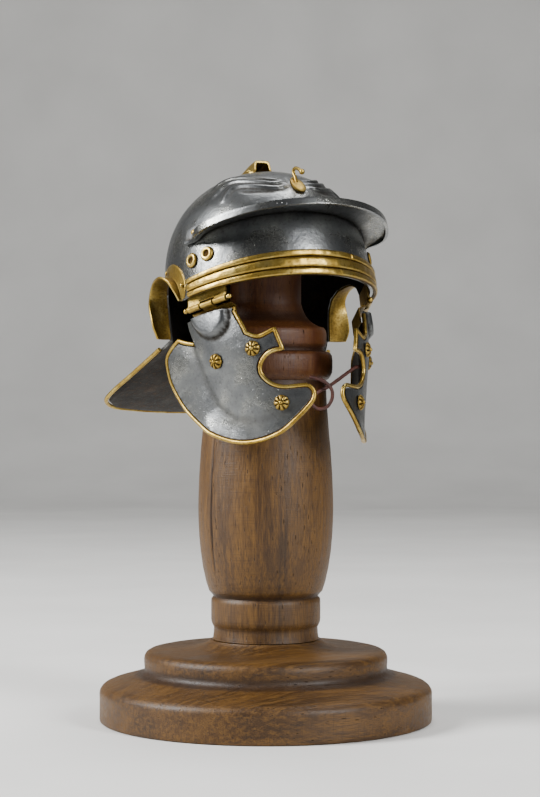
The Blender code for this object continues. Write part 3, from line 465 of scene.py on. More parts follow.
# %% [markdown]
# ## The bowl
# One raised sheet: an ellipse in plan that closes at the crown, an arch over each ear, a nape
# and a broad sloping neck guard. Three "eyebrow" ridges are embossed over the peak on each side
# and stepped ridges run round the nape.

# %% Bowl shape
BOWL_HALF_WIDTH, BOWL_HALF_LENGTH, BOWL_HEIGHT = 17.8 * MM, 18.8 * MM, 23.6 * MM
EAR_ARCH, NAPE_DROP, BAND_END = 5.2 * MM, 5.6 * MM, 76
SHEET, BRASS_SHEET, FIT, BEAD = 0.5 * MM, 0.35 * MM, 0.12 * MM, 0.38 * MM
EAR_SECTIONS = (
    (84.0, 0.05, 0.1, 0.5, 0), (85.2, 0.38, 0.25, 1.1, 0), (88.0, 0.73, 0.4, 1.3, 5),
    (93.0, 0.95, 0.52, 1.3, 8), (99.5, 1.0, 0.58, 1.2, 8), (106.0, 0.95, 0.62, 1.0, 4),
    (111.5, 0.73, 0.72, 0.8, -8), (114.5, 0.38, 0.85, 0.6, -26), (115.8, -0.05, 0.93, 0.5, -40),
    (116.3, -0.3, 0.93, 0.4, -44), (116.7, -0.5, 0.85, 0.3, -46), (117.0, -0.66, 0.75, 0.2, -46),
)
BOWL_EDGE = ((0, 0.04), (40, 0.04), (72, 0.04)) + tuple(row[:2] for row in EAR_SECTIONS) + (
    (118.4, -0.66), (124, -0.67), (130, -0.72), (140, -0.82),
    (150, -0.92), (160, -0.97), (170, -1.0), (180, -1.0),
)
NECK_START, NECK_HALF_WIDTH, NECK_REACH, NECK_DROP = 118.4, 20.4 * MM, 32.0 * MM, 10.4 * MM
NECK_EDGE = (
    (118.4, 0.985, 0.77, 0.83, 0.26), (124, 0.99, 0.86, 0.92, 0.34), (130, 0.88, 0.935, 0.965, 0.44),
    (140, 0.68, 0.965, 0.985, 0.54), (150, 0.49, 0.985, 0.995, 0.6), (160, 0.31, 0.995, 1.0, 0.6),
    (170, 0.15, 1.0, 1.0, 0.6), (180, 0.0, 1.0, 1.0, 0.6),
)


def bowl_point(angle, height, out=0.0):
    """A point on the bowl's face: degrees from the front towards the wearer's right."""
    rho = math.sqrt(max(0.0, 1 - (max(height, 0.0) / BOWL_HEIGHT) ** 3))
    turn = math.radians(angle)
    width, length = BOWL_HALF_WIDTH * rho, BOWL_HALF_LENGTH * rho
    place = Vector((-width * math.sin(turn), -length * math.cos(turn), height))
    return place + bowl_normal(angle, height) * out if out else place


def bowl_normal(angle, height):
    """Outward direction of the bowl's face."""
    step = 0.1 * MM
    height = min(height, BOWL_HEIGHT - 2 * step)
    across = bowl_point(angle + 1, height) - bowl_point(angle - 1, height)
    rise = bowl_point(angle, height + step) - bowl_point(angle, height - step)
    return rise.cross(across).normalized()


def on_bowl(point, out):
    """A point pushed to lie a distance outside the bowl."""
    angle = math.degrees(math.atan2(-point.x / BOWL_HALF_WIDTH, -point.y / BOWL_HALF_LENGTH))
    return bowl_point(angle, point.z, out)


def edge_height(share):
    """Height of the bowl's cut edge."""
    return share * (EAR_ARCH if share > 0 else NAPE_DROP)


def crown_height(x, y):
    """Height of the bowl over a spot of its plan."""
    share = (x / BOWL_HALF_WIDTH) ** 2 + (y / BOWL_HALF_LENGTH) ** 2
    return BOWL_HEIGHT * (1 - share) ** (1 / 3)


def neck_point(angle, share):
    """A point on the neck guard: 0 at the nape, 1 at its edge."""
    folded = min(angle, 360 - angle)
    side = -1 if angle <= 180 else 1
    width, reach, drop, steep = between(NECK_EDGE, folded)
    start = bowl_point(angle, edge_height(between(BOWL_EDGE, folded)[0]))
    end = Vector((side * width * NECK_HALF_WIDTH, reach * NECK_REACH, -drop * NECK_DROP))
    bend = start.lerp(end, 0.22)
    bend.z = start.z + (end.z - start.z) * steep
    return start.lerp(bend, share).lerp(bend.lerp(end, share), share)


# eyebrow ridges: angle in degrees and height in millimetres, from the temple to the middle
BROW_RIDGES = (
    ((52, 15.6), (48, 17.6), (41, 18.0), (33, 17.6), (24, 17.0), (15, 16.6), (8, 16.9)),
    ((60, 17.6), (55, 19.2), (46, 19.5), (36, 19.0), (26, 18.3), (17, 17.7), (9, 17.9)),
    ((68, 19.4), (62, 20.6), (52, 20.8), (40, 20.2), (29, 19.4), (19, 18.7), (11, 18.7)),
)
FURROW = ((14, 15.7), (24, 15.9), (34, 16.3), (44, 16.9))
FURROW_DEPTH = 0.12 * MM
RIDGE_HALF, RIDGE_RISE = 0.56 * MM, 0.38 * MM
# heights of the nape ridges in millimetres, and the angles over which they rise
NAPE_RIDGES = (-0.4, 1.7, 3.8)
NAPE_RISE, NAPE_RIDGE_HALF, NAPE_FROM, NAPE_FULL = 0.3 * MM, 0.75 * MM, 124, 156
RIDGE_LINES = [[bowl_point(a, h * MM) for a, h in smooth(row, 3)] for row in BROW_RIDGES]


def line_distance(point, line):
    """Distance from a polyline, and how far along it the nearest spot lies."""
    best = (1.0, 0.0)
    for k, (a, b) in enumerate(zip(line, line[1:])):
        leg = b - a
        t = max(0.0, min(1.0, (point - a).dot(leg) / leg.length_squared))
        gap = (point - a - leg * t).length
        if gap < best[0]:
            best = (gap, (k + t) / (len(line) - 1))
    return best


def bowl_relief(angle, height):
    """Embossing over the plain bowl, and the grime and painted shade beside it."""
    folded = min(angle % 360, 360 - angle % 360)
    point = bowl_point(folded, height)
    rise, dirt_and_shade = 0.0, 0.0
    if folded < 75 and height > 13 * MM:
        for line in RIDGE_LINES:
            gap, along = line_distance(point, line)
            strength = min(1.0, 6 * min(along, 1 - along) + 0.3)
            if gap < 2.4 * RIDGE_HALF:
                rise = max(rise, RIDGE_RISE * strength * (1 - ease(gap, 0.1 * RIDGE_HALF, 1.25 * RIDGE_HALF)))
                # The ridges' flanks are darkened: grime and painted shade.
                beside = ease(gap, 0.6 * RIDGE_HALF, 1.2 * RIDGE_HALF)
                beside *= 1 - ease(gap, 1.4 * RIDGE_HALF, 2.4 * RIDGE_HALF)
                dirt_and_shade = max(dirt_and_shade, strength * beside)
    if 14 < folded < 44 and height > 13 * MM:
        below = abs(height - between(FURROW, folded)[0] * MM)
        fading = ease(folded, 14, 20) * (1 - ease(folded, 36, 44))
        # The furrow under the ridges is darkened: grime and painted shade.
        dirt_and_shade = max(dirt_and_shade, (1 - ease(below, 0.1 * MM, 0.55 * MM)) * fading)
        rise -= FURROW_DEPTH * (1 - ease(below, 0.0, 0.5 * MM)) * fading
    if folded > 112:
        for level in NAPE_RIDGES:
            gap = abs(height - level * MM)
            full = NAPE_RISE * ease(folded, NAPE_FROM, NAPE_FULL)
            rise = max(rise, full * (1 - ease(gap, 0.0, NAPE_RIDGE_HALF)))
    return rise, dirt_and_shade


# %% Bowl mesh
NECK_ROWS = 40
UNDER_PEAK = 10.4 * MM
# degrees from one column to the next: over the brow, round the ear arch and elsewhere
BROW_STEP, ARCH_STEP, COLUMN_STEP = 1.0, 0.5, 1.3
# rows up the bowl's quarter turn, from, to and how many: they lie closest over the brow ridges
ROW_BANDS = ((0, 38, 26), (38, 72, 64), (72, 90, 14))
ROW_TURNS = [low + (high - low) * k / count for low, high, count in ROW_BANDS for k in range(count)]


def bowl_angles():
    """Angles round the bowl, closer together at the ear arches."""
    right = []
    angle = 0.0
    while angle < 180:
        right.append(angle)
        angle += ARCH_STEP if 83 < angle < 119 else BROW_STEP if angle < 72 else COLUMN_STEP
    keep = [row[0] for row in BOWL_EDGE[2:]]
    right = sorted(set(a for a in right if all(abs(a - k) > 0.12 for k in keep)) | set(keep))
    return right + [360 - a for a in reversed(right) if 0 < a < 180]


def skull_bowl():
    """Bowl, nape and neck guard."""
    points, recess, grid = [], [], []
    for angle in bowl_angles():
        folded = min(angle, 360 - angle)
        column = []
        if folded >= NECK_START:
            for k in range(NECK_ROWS, 0, -1):
                share = k / NECK_ROWS
                column.append(len(points))
                points.append(neck_point(angle, share))
                # The neck guard darkens towards the nape crease: grime and painted shade.
                recess.append(0.75 * (1 - ease(share, 0.0, 0.3)))
        low = edge_height(between(BOWL_EDGE, folded)[0])
        for turn in ROW_TURNS:
            height = low + (BOWL_HEIGHT - low) * math.sin(math.radians(turn))
            rise, dirt_and_shade = bowl_relief(angle, height)
            column.append(len(points))
            points.append(bowl_point(angle, height, rise))
            # A band of painted shadow, with some grime, on the bowl under the peak.
            gap = abs(height - UNDER_PEAK)
            under_peak = 0.25 * (1 - ease(gap, 0.4 * MM, 1.6 * MM)) if folded < BAND_END else 0.0
            # The bowl darkens into the nape crease: grime and painted shade.
            nape = 0.6 * (1 - ease(height - low, 0.0, 2.5 * MM)) if folded > 112 else 0.0
            recess.append(max(dirt_and_shade * 0.85, under_peak, nape))
        grid.append(column)
    top = len(points)
    points.append(Vector((0, 0, BOWL_HEIGHT)))
    recess.append(0.0)
    faces = []
    for k, column in enumerate(grid):
        after = grid[(k + 1) % len(grid)]
        rows = min(len(column), len(after))
        here, there = column[-rows:], after[-rows:]
        faces += [(here[j], here[j + 1], there[j + 1], there[j]) for j in range(rows - 1)]
        faces.append((here[-1], top, there[-1]))
    bowl = mesh_object("raised bowl and neck guard", points, faces, recess)
    return declare(sheet_metal(bowl, SHEET, False, 0.06 * MM, True), TIN, "tinned_iron", "skull_bowl")


skull_bowl()


# %% [markdown]
# ## Brass band and the neck guard's binding
# The brow band carries three reeds: two narrow and a broad one between them. Grime is strongest
# in the two grooves. The binding is a folded strip, drawn as a slightly dented bead.

# %% Brow band
BAND_DEPTH, BAND_LOW, BAND_SWELL = 0.75 * MM, 2.7 * MM, 1.7 * MM
NICK_ANGLE = -21.5
REEDS = ((0.0, 0.27), (0.3, 0.7), (0.73, 1.0))


def reed_depth(share):
    """Depth of the band's face, and grime, at a share of its height."""
    for low, high in REEDS:
        if low <= share <= high:
            t = (share - low) / (high - low) * 2 - 1
            return 0.35 + 0.55 * math.sqrt(max(0.0, 1 - t ** 4)), abs(t) ** 6
    return 0.3, 1.0


def brow_band():
    """Reeded band along the brow."""
    points, recess = [], []
    shares = [k / 44 for k in range(45)]
    columns = 240
    for k in range(columns + 1):
        angle = -BAND_END + 2 * BAND_END * k / columns
        tall = BAND_LOW + BAND_SWELL * math.cos(math.radians(angle))
        at_nick = 1 - ease(abs(angle - NICK_ANGLE), 0.2, 0.9)
        for share in shares:
            depth, dirt_and_shade = reed_depth(share)
            place = bowl_point(angle, tall * share)
            worn = 1 + 0.08 * noise.noise(place * 900)
            nick = at_nick if share > 0.7 else 0.0
            out = FIT + BAND_DEPTH * depth * worn * (1 - 0.3 * nick)
            points.append(bowl_point(angle, tall * share, out))
            recess.append(max(dirt_and_shade, 0.8 * nick))
        for share in (1.0, 0.0):
            points.append(bowl_point(angle, tall * share, FIT))
            recess.append(0.8)
    size = len(shares) + 2
    faces = grid_faces(columns + 1, size, True)
    faces += [tuple(range(size)), tuple(range(columns * size, (columns + 1) * size))]
    return declare(mesh_object("reeded brow band", points, faces, recess), BRASS, "brass", "brow_band")


def worn_bead(name, route, ups, node, sides=14):
    """A folded brass strip along an edge, with small dents."""
    points, faces = sweep(route, round_section(BEAD, sides), ups)
    middles = [p for p in route for _ in range(sides)]
    moved, recess = [], []
    for point, middle in zip(points, middles):
        worn = noise.noise(point * 700)
        moved.append(middle + (point - middle) * (0.97 + 0.05 * worn))
        recess.append(0.15 + 0.5 * max(0.0, -worn))
    return declare(mesh_object(name, moved, faces, recess), BRASS, "brass", node)


def neck_edging():
    """Brass binding of the neck guard."""
    angles = [row[0] for row in NECK_EDGE]
    around = angles + [360 - angle for angle in reversed(angles[:-1])]
    rim = [neck_point(NECK_START, share) for share in (0.25, 0.5, 0.75)]
    rim += [neck_point(angle, 1.0) for angle in around]
    rim += [neck_point(360 - NECK_START, share) for share in (0.75, 0.5, 0.25)]
    middle = Vector((0, BOWL_HALF_LENGTH * 0.9, 0))
    route = []
    for k, here in enumerate(rim):
        along = (rim[min(k + 1, len(rim) - 1)] - rim[max(k - 1, 0)]).normalized()
        away = Vector((0, 0, 1)).cross(along)
        away = -away if away.dot(here - middle) < 0 else away
        away.z = 0
        route.append(here + away.normalized() * (BEAD + FIT) + Vector((0, 0, -SHEET * 0.5)))
    return worn_bead("neck guard binding", smooth(route, 8), None, "neck_guard_edging")


brow_band()
neck_edging()

# %% [markdown]
# ## The peak
# A flat shelf that stands off the brow, with a turned-down lip. Its flange runs back along the
# bowl to a riveted strap end on each side.

# %% Brow guard
BROW_HEIGHT, BROW_REACH, BROW_DROOP = 11.4 * MM, 6.8 * MM, 0.35 * MM
BROW_LIP, BROW_FLANGE = 0.8 * MM, 2.8 * MM
# angle in degrees, then shares of height, reach and flange
BROW_SECTIONS = (
    (0, 1.0, 1.0, 0.36), (10, 0.997, 0.98, 0.36), (20, 0.99, 0.93, 0.36), (30, 0.977, 0.85, 0.36),
    (40, 0.957, 0.75, 0.36), (48, 0.937, 0.66, 0.4), (55, 0.915, 0.57, 0.45), (60, 0.89, 0.47, 0.6),
    (64, 0.85, 0.3, 0.85), (67, 0.815, 0.13, 1.0), (71, 0.8, 0.06, 1.0), (76, 0.815, 0.05, 0.9),
)


def brow_guard():
    """The peak."""
    half = smooth(BROW_SECTIONS, 6)
    rows = [(-r[0], r) for r in reversed(half) if r[0] > 0] + [(r[0], r) for r in half]
    points, recess = [], []
    for angle, row in rows:
        height, reach, flange = row[1:]
        foot = height * BROW_HEIGHT
        root = bowl_point(angle, foot, FIT)
        outward = Vector((root.x, root.y, 0)).normalized()
        share = min(1.0, reach * 2)
        rim = root + outward * reach * BROW_REACH - Vector((0, 0, BROW_DROOP * share))
        lip = rim + outward * 0.15 * BROW_LIP * reach - Vector((0, 0, BROW_LIP * share))
        crown = root.lerp(rim, 0.5) + Vector((0, 0, 0.03 * BROW_REACH * reach))
        path = [bowl_point(angle, foot + flange * BROW_FLANGE * (1 - k / 6), FIT) for k in range(6)]
        path += [root, root.lerp(crown, 0.06)]
        path += [root.lerp(crown, t) for t in (0.12, 0.3, 0.5, 0.75)]
        path += [crown.lerp(rim, t) for t in (0.0, 0.25, 0.5, 0.75, 0.9, 0.96)]
        path += [rim.lerp(lip, t) for t in (0.0, 0.08, 0.2, 0.5, 0.8, 1.0)]
        points += path
        # Darkest at the join of peak and bowl: grime and painted shade.
        grime_and_shade = [0.25] * 4 + [0.6, 0.9, 1.0, 0.9, 0.7, 0.35, 0.15, 0.05]
        recess += grime_and_shade + [0.0] * (len(path) - len(grime_and_shade))
    size = len(points) // len(rows)
    faces = grid_faces(len(rows), size)
    guard = mesh_object("brow guard", points, [tuple(reversed(f)) for f in faces], recess)
    return declare(sheet_metal(guard, SHEET, True, 0.12 * MM), TIN, "tinned_iron", "brow_guard")


brow_guard()


# %% [markdown]
# ## Ear guards
# Each is one bent brass sheet: a plate riveted on the bowl round the ear opening, folded out
# into a small hood that stands off further towards the rear. Three small rivets hold the plate.

# %% Ear guards
RIVET_PROFILE = (
    (0.5, 0.0), (0.5, 0.06), (0.46, 0.17), (0.36, 0.27), (0.22, 0.32), (0.08, 0.345), (0.01, 0.35),
)
RIVET_GRIME = (1.0, 0.7, 0.2, 0, 0, 0, 0)
# angle in degrees, height in millimetres, size
EAR_RIVETS = ((81.6, 2.6, 0.7), (98.5, 6.4, 0.75), (111.0, 5.1, 0.6))


def turned(name, profile, sides=32, grime_and_shade=None):
    """A turned shape from (radius, height) rows, closed at the axis, in millimetres."""
    points, recess = [], []
    rows = len(profile)
    for k, (radius, height) in enumerate(profile):
        for j in range(sides):
            turn = 2 * math.pi * j / sides
            points.append(Vector((radius * math.cos(turn), radius * math.sin(turn), height)) * MM)
            recess.append(grime_and_shade[k] if grime_and_shade else 0.0)
    return mesh_object(name, points, grid_faces(rows, sides, True) + [
        tuple(reversed(range(sides))), tuple(range((rows - 1) * sides, rows * sides))], recess)


def absorb(thing, extra):
    """One object's mesh added to another's, and the other object removed."""
    shape = bmesh.new()
    shape.from_mesh(thing.data)
    shape.from_mesh(extra.data)
    shape.to_mesh(thing.data)
    shape.free()
    bpy.data.objects.remove(extra)


EAR_PLATE_WIDTH, EAR_HOOD_REACH = 1.9 * MM, 3.8 * MM


def ear_guard(side, label):
    """Plate, hood and rivets."""
    rows = smooth(EAR_SECTIONS, 6)
    edge = [bowl_point(row[0], edge_height(row[1]), FIT) for row in rows]
    middle = bowl_point((EAR_SECTIONS[0][0] + EAR_SECTIONS[-1][0]) / 2, 0.0)
    points, recess = [], []
    for k, (angle, share, reach, width, splay) in enumerate(rows):
        normal = bowl_normal(angle, edge_height(share))
        along = (edge[min(k + 1, len(edge) - 1)] - edge[max(k - 1, 0)]).normalized()
        away = along.cross(normal).normalized()
        away = -away if away.dot(edge[k] - middle) < 0 else away
        plate = on_bowl(edge[k] + away * EAR_PLATE_WIDTH * width, FIT)
        path = [on_bowl(plate.lerp(edge[k], t / 6), FIT) for t in range(6)] + [edge[k]]
        start = edge[k] + normal * FIT
        for t in (0.03, 0.1, 0.25, 0.5, 0.75, 0.9, 1.0):
            turn = math.radians(splay * (0.6 + 0.4 * t))
            heading = normal * math.cos(turn) + away * math.sin(turn)
            path.append(start + heading * EAR_HOOD_REACH * reach * t)
        points += path
        recess += [0.1, 0.1, 0.15, 0.2, 0.3, 0.5, 0.7, 0.8, 0.8, 0.75, 0.7, 0.6, 0.35, 0.15]
    size = len(points) // len(rows)
    faces = grid_faces(len(rows), size)
    if side < 0:
        faces = [tuple(reversed(f)) for f in faces]
    guard = mesh_object(f"ear guard {label}", [flip(p, side) for p in points], faces, recess)
    guard = sheet_metal(guard, BRASS_SHEET, True, 0.08 * MM)
    for angle, height, size in EAR_RIVETS:
        head = turned("ear rivet", RIVET_PROFILE, 20, RIVET_GRIME)
        place = on_bowl(bowl_point(angle, height * MM), FIT + BRASS_SHEET * 0.9)
        standing = bowl_normal(angle, height * MM).to_track_quat("Z", "Y").to_matrix().to_4x4()
        head.data.transform(Matrix.Translation(place) @ standing @ Matrix.Scale(size, 4))
        if side < 0:
            head.data.transform(Matrix.Scale(-1, 4, (1, 0, 0)))
        absorb(guard, head)
    return declare(guard, BRASS, "brass", f"ear_guard_{label}")


for side, label in ((1, "right"), (-1, "left")):
    ear_guard(side, label)

# %% [markdown]
# ## Cheek guards
# Cut from flat sheet to the outline, then bent over an elliptic cone. A half-round boss stands
# out under the hinge, and below the crease a flange flares towards the shoulder.

# %% Cheek guard shape
CHEEK_HALF_WIDTH, CHEEK_HALF_LENGTH, CHEEK_SHIFT = 18.2 * MM, 19.5 * MM, 1.0 * MM
CHEEK_LEAN, CHEEK_DROP = 0.215, 26.3 * MM
CHEEK_TUCK_IN, CHEEK_TUCK_BACK, CHEEK_TUCK_DEPTH = 1.2 * MM, 2.3 * MM, 12.0 * MM
CHEEK_FLARE, CHEEK_FLARE_FROM, CHEEK_FLARE_FULL = 0.42, 58, 84
CHEEK_MEAN = (CHEEK_HALF_WIDTH + CHEEK_HALF_LENGTH) / 2
BOSS_ANGLE, BOSS_RAISE, BOSS_WIDTH, BOSS_DROP, BOSS_BLEND = 65, 1.0 * MM, 4.1 * MM, 4.4 * MM, 0.24
CHEEK_OUTLINE = (
    (81, 0.129), (71, 0.129), (61, 0.129), (50.5, 0.129), (49, 0.15), (47.2, 0.25), (46.6, 0.3),
    (42, 0.332), (36, 0.315), (31.6, 0.297), (31, 0.38), (30.4, 0.463), (36, 0.465), (40.5, 0.485),
    (44.4, 0.535), (45, 0.585), (42, 0.64), (36.9, 0.671), (30.4, 0.677), (25, 0.68), (21.8, 0.71),
    (21.6, 0.765), (25, 0.82), (33, 0.892), (43, 0.965), (50, 0.99), (57, 1.0), (66, 0.993), (75, 0.955),
    (85, 0.87), (93, 0.755), (99, 0.63), (102.5, 0.5), (103, 0.4), (101.5, 0.3), (96, 0.245),
    (90, 0.207), (86, 0.24), (82.5, 0.262), (81.5, 0.19),
)
CHEEK_CORNERS = (0, 3, 6, 9, 11, 36, 38)
EDGING_START, EDGING_END = 4, 38
CHEEK_CREASE = (
    (82.5, 0.2), (82.5, 0.29), (80.4, 0.53), (77, 0.7), (68, 0.82), (55, 0.865), (41.8, 0.85), (24, 0.77),
)


def unrolled(angle, share):
    """Outline row to flat coordinates."""
    return Vector((CHEEK_MEAN * math.radians(angle), -share * CHEEK_DROP))


def segment_offset(spot, start, end):
    """Signed distance from a segment."""
    line = end - start
    t = max(0.0, min(1.0, (spot - start).dot(line) / line.length_squared))
    gap = spot - (start + line * t)
    return math.copysign(gap.length, line.x * gap.y - line.y * gap.x)


CREASE_LINE = [unrolled(*row) for row in CHEEK_CREASE]


def crease_offset(spot):
    """Signed distance from the crease, positive on the flange."""
    return min((segment_offset(spot, a, b) for a, b in zip(CREASE_LINE, CREASE_LINE[1:])), key=abs)


def cheek_lift(spot):
    """Flare, boss, and the grime and painted shade at a flat spot."""
    gap = crease_offset(spot)
    back = (math.degrees(spot.x / CHEEK_MEAN) - CHEEK_FLARE_FROM) / (CHEEK_FLARE_FULL - CHEEK_FLARE_FROM)
    flare = max(0.0, gap) * CHEEK_FLARE * max(0.12, min(1.0, back))
    centre = unrolled(BOSS_ANGLE, CHEEK_OUTLINE[0][1])
    radial = math.hypot((spot.x - centre.x) / BOSS_WIDTH, (spot.y - centre.y) / BOSS_DROP)
    boss = BOSS_RAISE * ease(1.0 - radial, 0.0, BOSS_BLEND)
    # Darker along the crease: grime and painted shade.
    dirt_and_shade = 0.5 * (1 - ease(abs(gap - 0.1 * MM), 0.1 * MM, 1.3 * MM))
    # A dark ring painted round the boss's edge: the raised boss's shadow.
    dirt_and_shade = max(dirt_and_shade, 1 - ease(abs(radial - 0.99), 0.04, 0.14))
    return flare, boss, dirt_and_shade


def cheek_point(spot, out=0.0):
    """A flat spot bent onto the cone."""
    turn = spot.x / CHEEK_MEAN
    flare, boss, _ = cheek_lift(spot)
    place = Vector((
        -CHEEK_HALF_WIDTH * math.sin(turn) - CHEEK_LEAN * spot.y,
        CHEEK_SHIFT - CHEEK_HALF_LENGTH * math.cos(turn),
        spot.y,
    ))
    tuck = max(0.0, 1 + spot.y / CHEEK_TUCK_DEPTH) ** 2
    place += Vector((CHEEK_TUCK_IN * tuck, CHEEK_TUCK_BACK * tuck, 0))
    normal = Vector((-math.sin(turn) / CHEEK_HALF_WIDTH, -math.cos(turn) / CHEEK_HALF_LENGTH, 0)).normalized()
    return place + normal * (flare + boss + out)


def cheek_normal(spot):
    """Outward direction of the cheek guard."""
    step = 0.2 * MM
    along = cheek_point(spot + Vector((step, 0))) - cheek_point(spot - Vector((step, 0)))
    rise = cheek_point(spot + Vector((0, step))) - cheek_point(spot - Vector((0, step)))
    return rise.cross(along).normalized()


def inside(spot, outline):
    """Whether a flat spot lies inside."""
    hit = False
    for a, b in zip(outline, outline[1:] + outline[:1]):
        if (a.y > spot.y) != (b.y > spot.y) and spot.x < a.x + (spot.y - a.y) / (b.y - a.y) * (b.x - a.x):
            hit = not hit
    return hit


def cheek_inward(distance):
    """The outline moved inward wherever brass binds it."""
    outline = [unrolled(*row) for row in CHEEK_OUTLINE]
    moved = []
    for k, here in enumerate(outline):
        legs = (here - outline[k - 1]).normalized(), (outline[(k + 1) % len(outline)] - here).normalized()
        along = (legs[0] + legs[1]).normalized()
        inward = Vector((along.y, -along.x))
        inward = inward if inside(here + inward * 0.05 * MM, outline) else -inward
        corner = 1 / max(0.7, math.sqrt((1 + legs[0].dot(legs[1])) / 2))
        moved.append(here + inward * distance * corner if EDGING_START <= k <= EDGING_END else here)
    return moved


def rounded_line(points, start, end, steps=5):
    """A smooth line through outline points that keeps the real corners."""
    made, run = [], [points[start]]
    for k in range(start + 1, end + 1):
        run.append(points[k % len(points)])
        if k % len(points) in CHEEK_CORNERS or k == end:
            straight = [run[0].lerp(run[1], j / steps) for j in range(steps)]
            made += smooth(run, steps)[:-1] if len(run) > 2 else straight
            run = [points[k % len(points)]]
    return made + [run[0]]


# %% Cheek guard meshes
CHEEK_GRID = 0.42 * MM
OUTLINE_FINE = rounded_line(cheek_inward(2 * BEAD + FIT), 0, len(CHEEK_OUTLINE))[:-1]
FIELD = list(OUTLINE_FINE)
FIELD += rounded_line(cheek_inward(2 * BEAD + FIT + 0.28 * MM), EDGING_START, EDGING_END)
HELD = list(FIELD)
WEST, EAST = min(p.x for p in FIELD), max(p.x for p in FIELD)
SOUTH, NORTH = min(p.y for p in FIELD), max(p.y for p in FIELD)
for i in range(int((EAST - WEST) / CHEEK_GRID) + 1):
    for j in range(int((NORTH - SOUTH) / CHEEK_GRID) + 1):
        spot = Vector((WEST + CHEEK_GRID * (i + 0.5 * (j % 2)), NORTH - CHEEK_GRID * j))
        nearest = min((spot - p).length for p in HELD)
        if nearest > 0.5 * CHEEK_GRID and inside(spot, OUTLINE_FINE):
            FIELD.append(spot)
RING = [(k, (k + 1) % len(OUTLINE_FINE)) for k in range(len(OUTLINE_FINE))]
FLAT, _, TRIANGLES, _, _, _ = delaunay_2d_cdt(FIELD, RING, [], 1, 1e-8)
print("cheek guard blank:", len(FLAT), "points", len(TRIANGLES), "triangles")


def cheek_plate(side, label):
    """One cheek guard."""
    faces = []
    for tri in TRIANGLES:
        a, b, c = (FLAT[k] for k in tri)
        turn = (b - a).x * (c - a).y - (b - a).y * (c - a).x
        faces.append(tuple(tri) if (turn > 0) == (side < 0) else tuple(reversed(tri)))
    recess = []
    for spot in FLAT:
        # Darker under the brass binding: grime and painted shade.
        rim = min((spot - p).length for p in OUTLINE_FINE[::2])
        recess.append(max(cheek_lift(spot)[2], 0.75 * (1 - ease(rim, 0.05 * MM, 0.5 * MM))))
    points = [flip(cheek_point(spot), side) for spot in FLAT]
    plate = mesh_object(f"cheek guard {label}", points, faces, recess)
    return declare(sheet_metal(plate, SHEET, False, 0.0, True), TIN, "tinned_iron", f"cheek_plate_{label}")


def cheek_edging(side, label):
    """Folded brass strip round a cheek guard."""
    middle = rounded_line(cheek_inward(BEAD), EDGING_START, EDGING_END, 4)
    route = [flip(cheek_point(spot, -SHEET / 2), side) for spot in middle]
    ups = [flip(cheek_normal(spot), side) for spot in middle]
    return worn_bead(f"cheek guard binding {label}", route, ups, f"cheek_edging_{label}", sides=12)


for side, label in ((1, "right"), (-1, "left")):
    cheek_plate(side, label)
    cheek_edging(side, label)

# %% [markdown]
# ## Rivets, eyelets and rosettes
# Fittings are made once and placed by Geometry Nodes: a point per place carries its `facing`
# direction, an instance of the fitting is stood on it, and the instances become real geometry.

# %% Fittings tree
def fittings_tree():
    """Geometry Nodes group that stands a fitting on every point."""
    tree = bpy.data.node_groups.new("fittings on places", "GeometryNodeTree")
    sockets = {}
    for name, kind in (("Places", "NodeSocketGeometry"), ("Fitting", "NodeSocketObject"),
                       ("Size", "NodeSocketFloat"), ("Finish", "NodeSocketMaterial")):
        sockets[name] = tree.interface.new_socket(name, in_out="INPUT", socket_type=kind)
    sockets["Size"].default_value = 1.0
    tree.interface.new_socket("Fittings", in_out="OUTPUT", socket_type="NodeSocketGeometry")
    given = add(tree, "NodeGroupInput")
    chosen = {"Object": given.outputs["Fitting"]}
    fitting = add(tree, "GeometryNodeObjectInfo", chosen, transform_space="ORIGINAL")
    facing = add(tree, "GeometryNodeInputNamedAttribute", values={"Name": "facing"}, data_type="FLOAT_VECTOR")
    upright = {"Vector": facing.outputs["Attribute"]}
    aimed = add(tree, "FunctionNodeAlignRotationToVector", upright, axis="Z")
    standing = add(tree, "GeometryNodeInstanceOnPoints", {
        "Points": given.outputs["Places"], "Instance": fitting.outputs["Geometry"],
        "Rotation": aimed.outputs["Rotation"], "Scale": given.outputs["Size"],
    })
    real = add(tree, "GeometryNodeRealizeInstances", {"Geometry": standing.outputs["Instances"]})
    finished = add(tree, "GeometryNodeSetMaterial", {
        "Geometry": real.outputs["Geometry"], "Material": given.outputs["Finish"],
    })
    add(tree, "NodeGroupOutput", {"Fittings": finished.outputs["Geometry"]})
    return tree, {name: socket.identifier for name, socket in sockets.items()}


FITTINGS, FITTING_INPUTS = fittings_tree()
print("fittings tree:", ", ".join(FITTING_INPUTS))


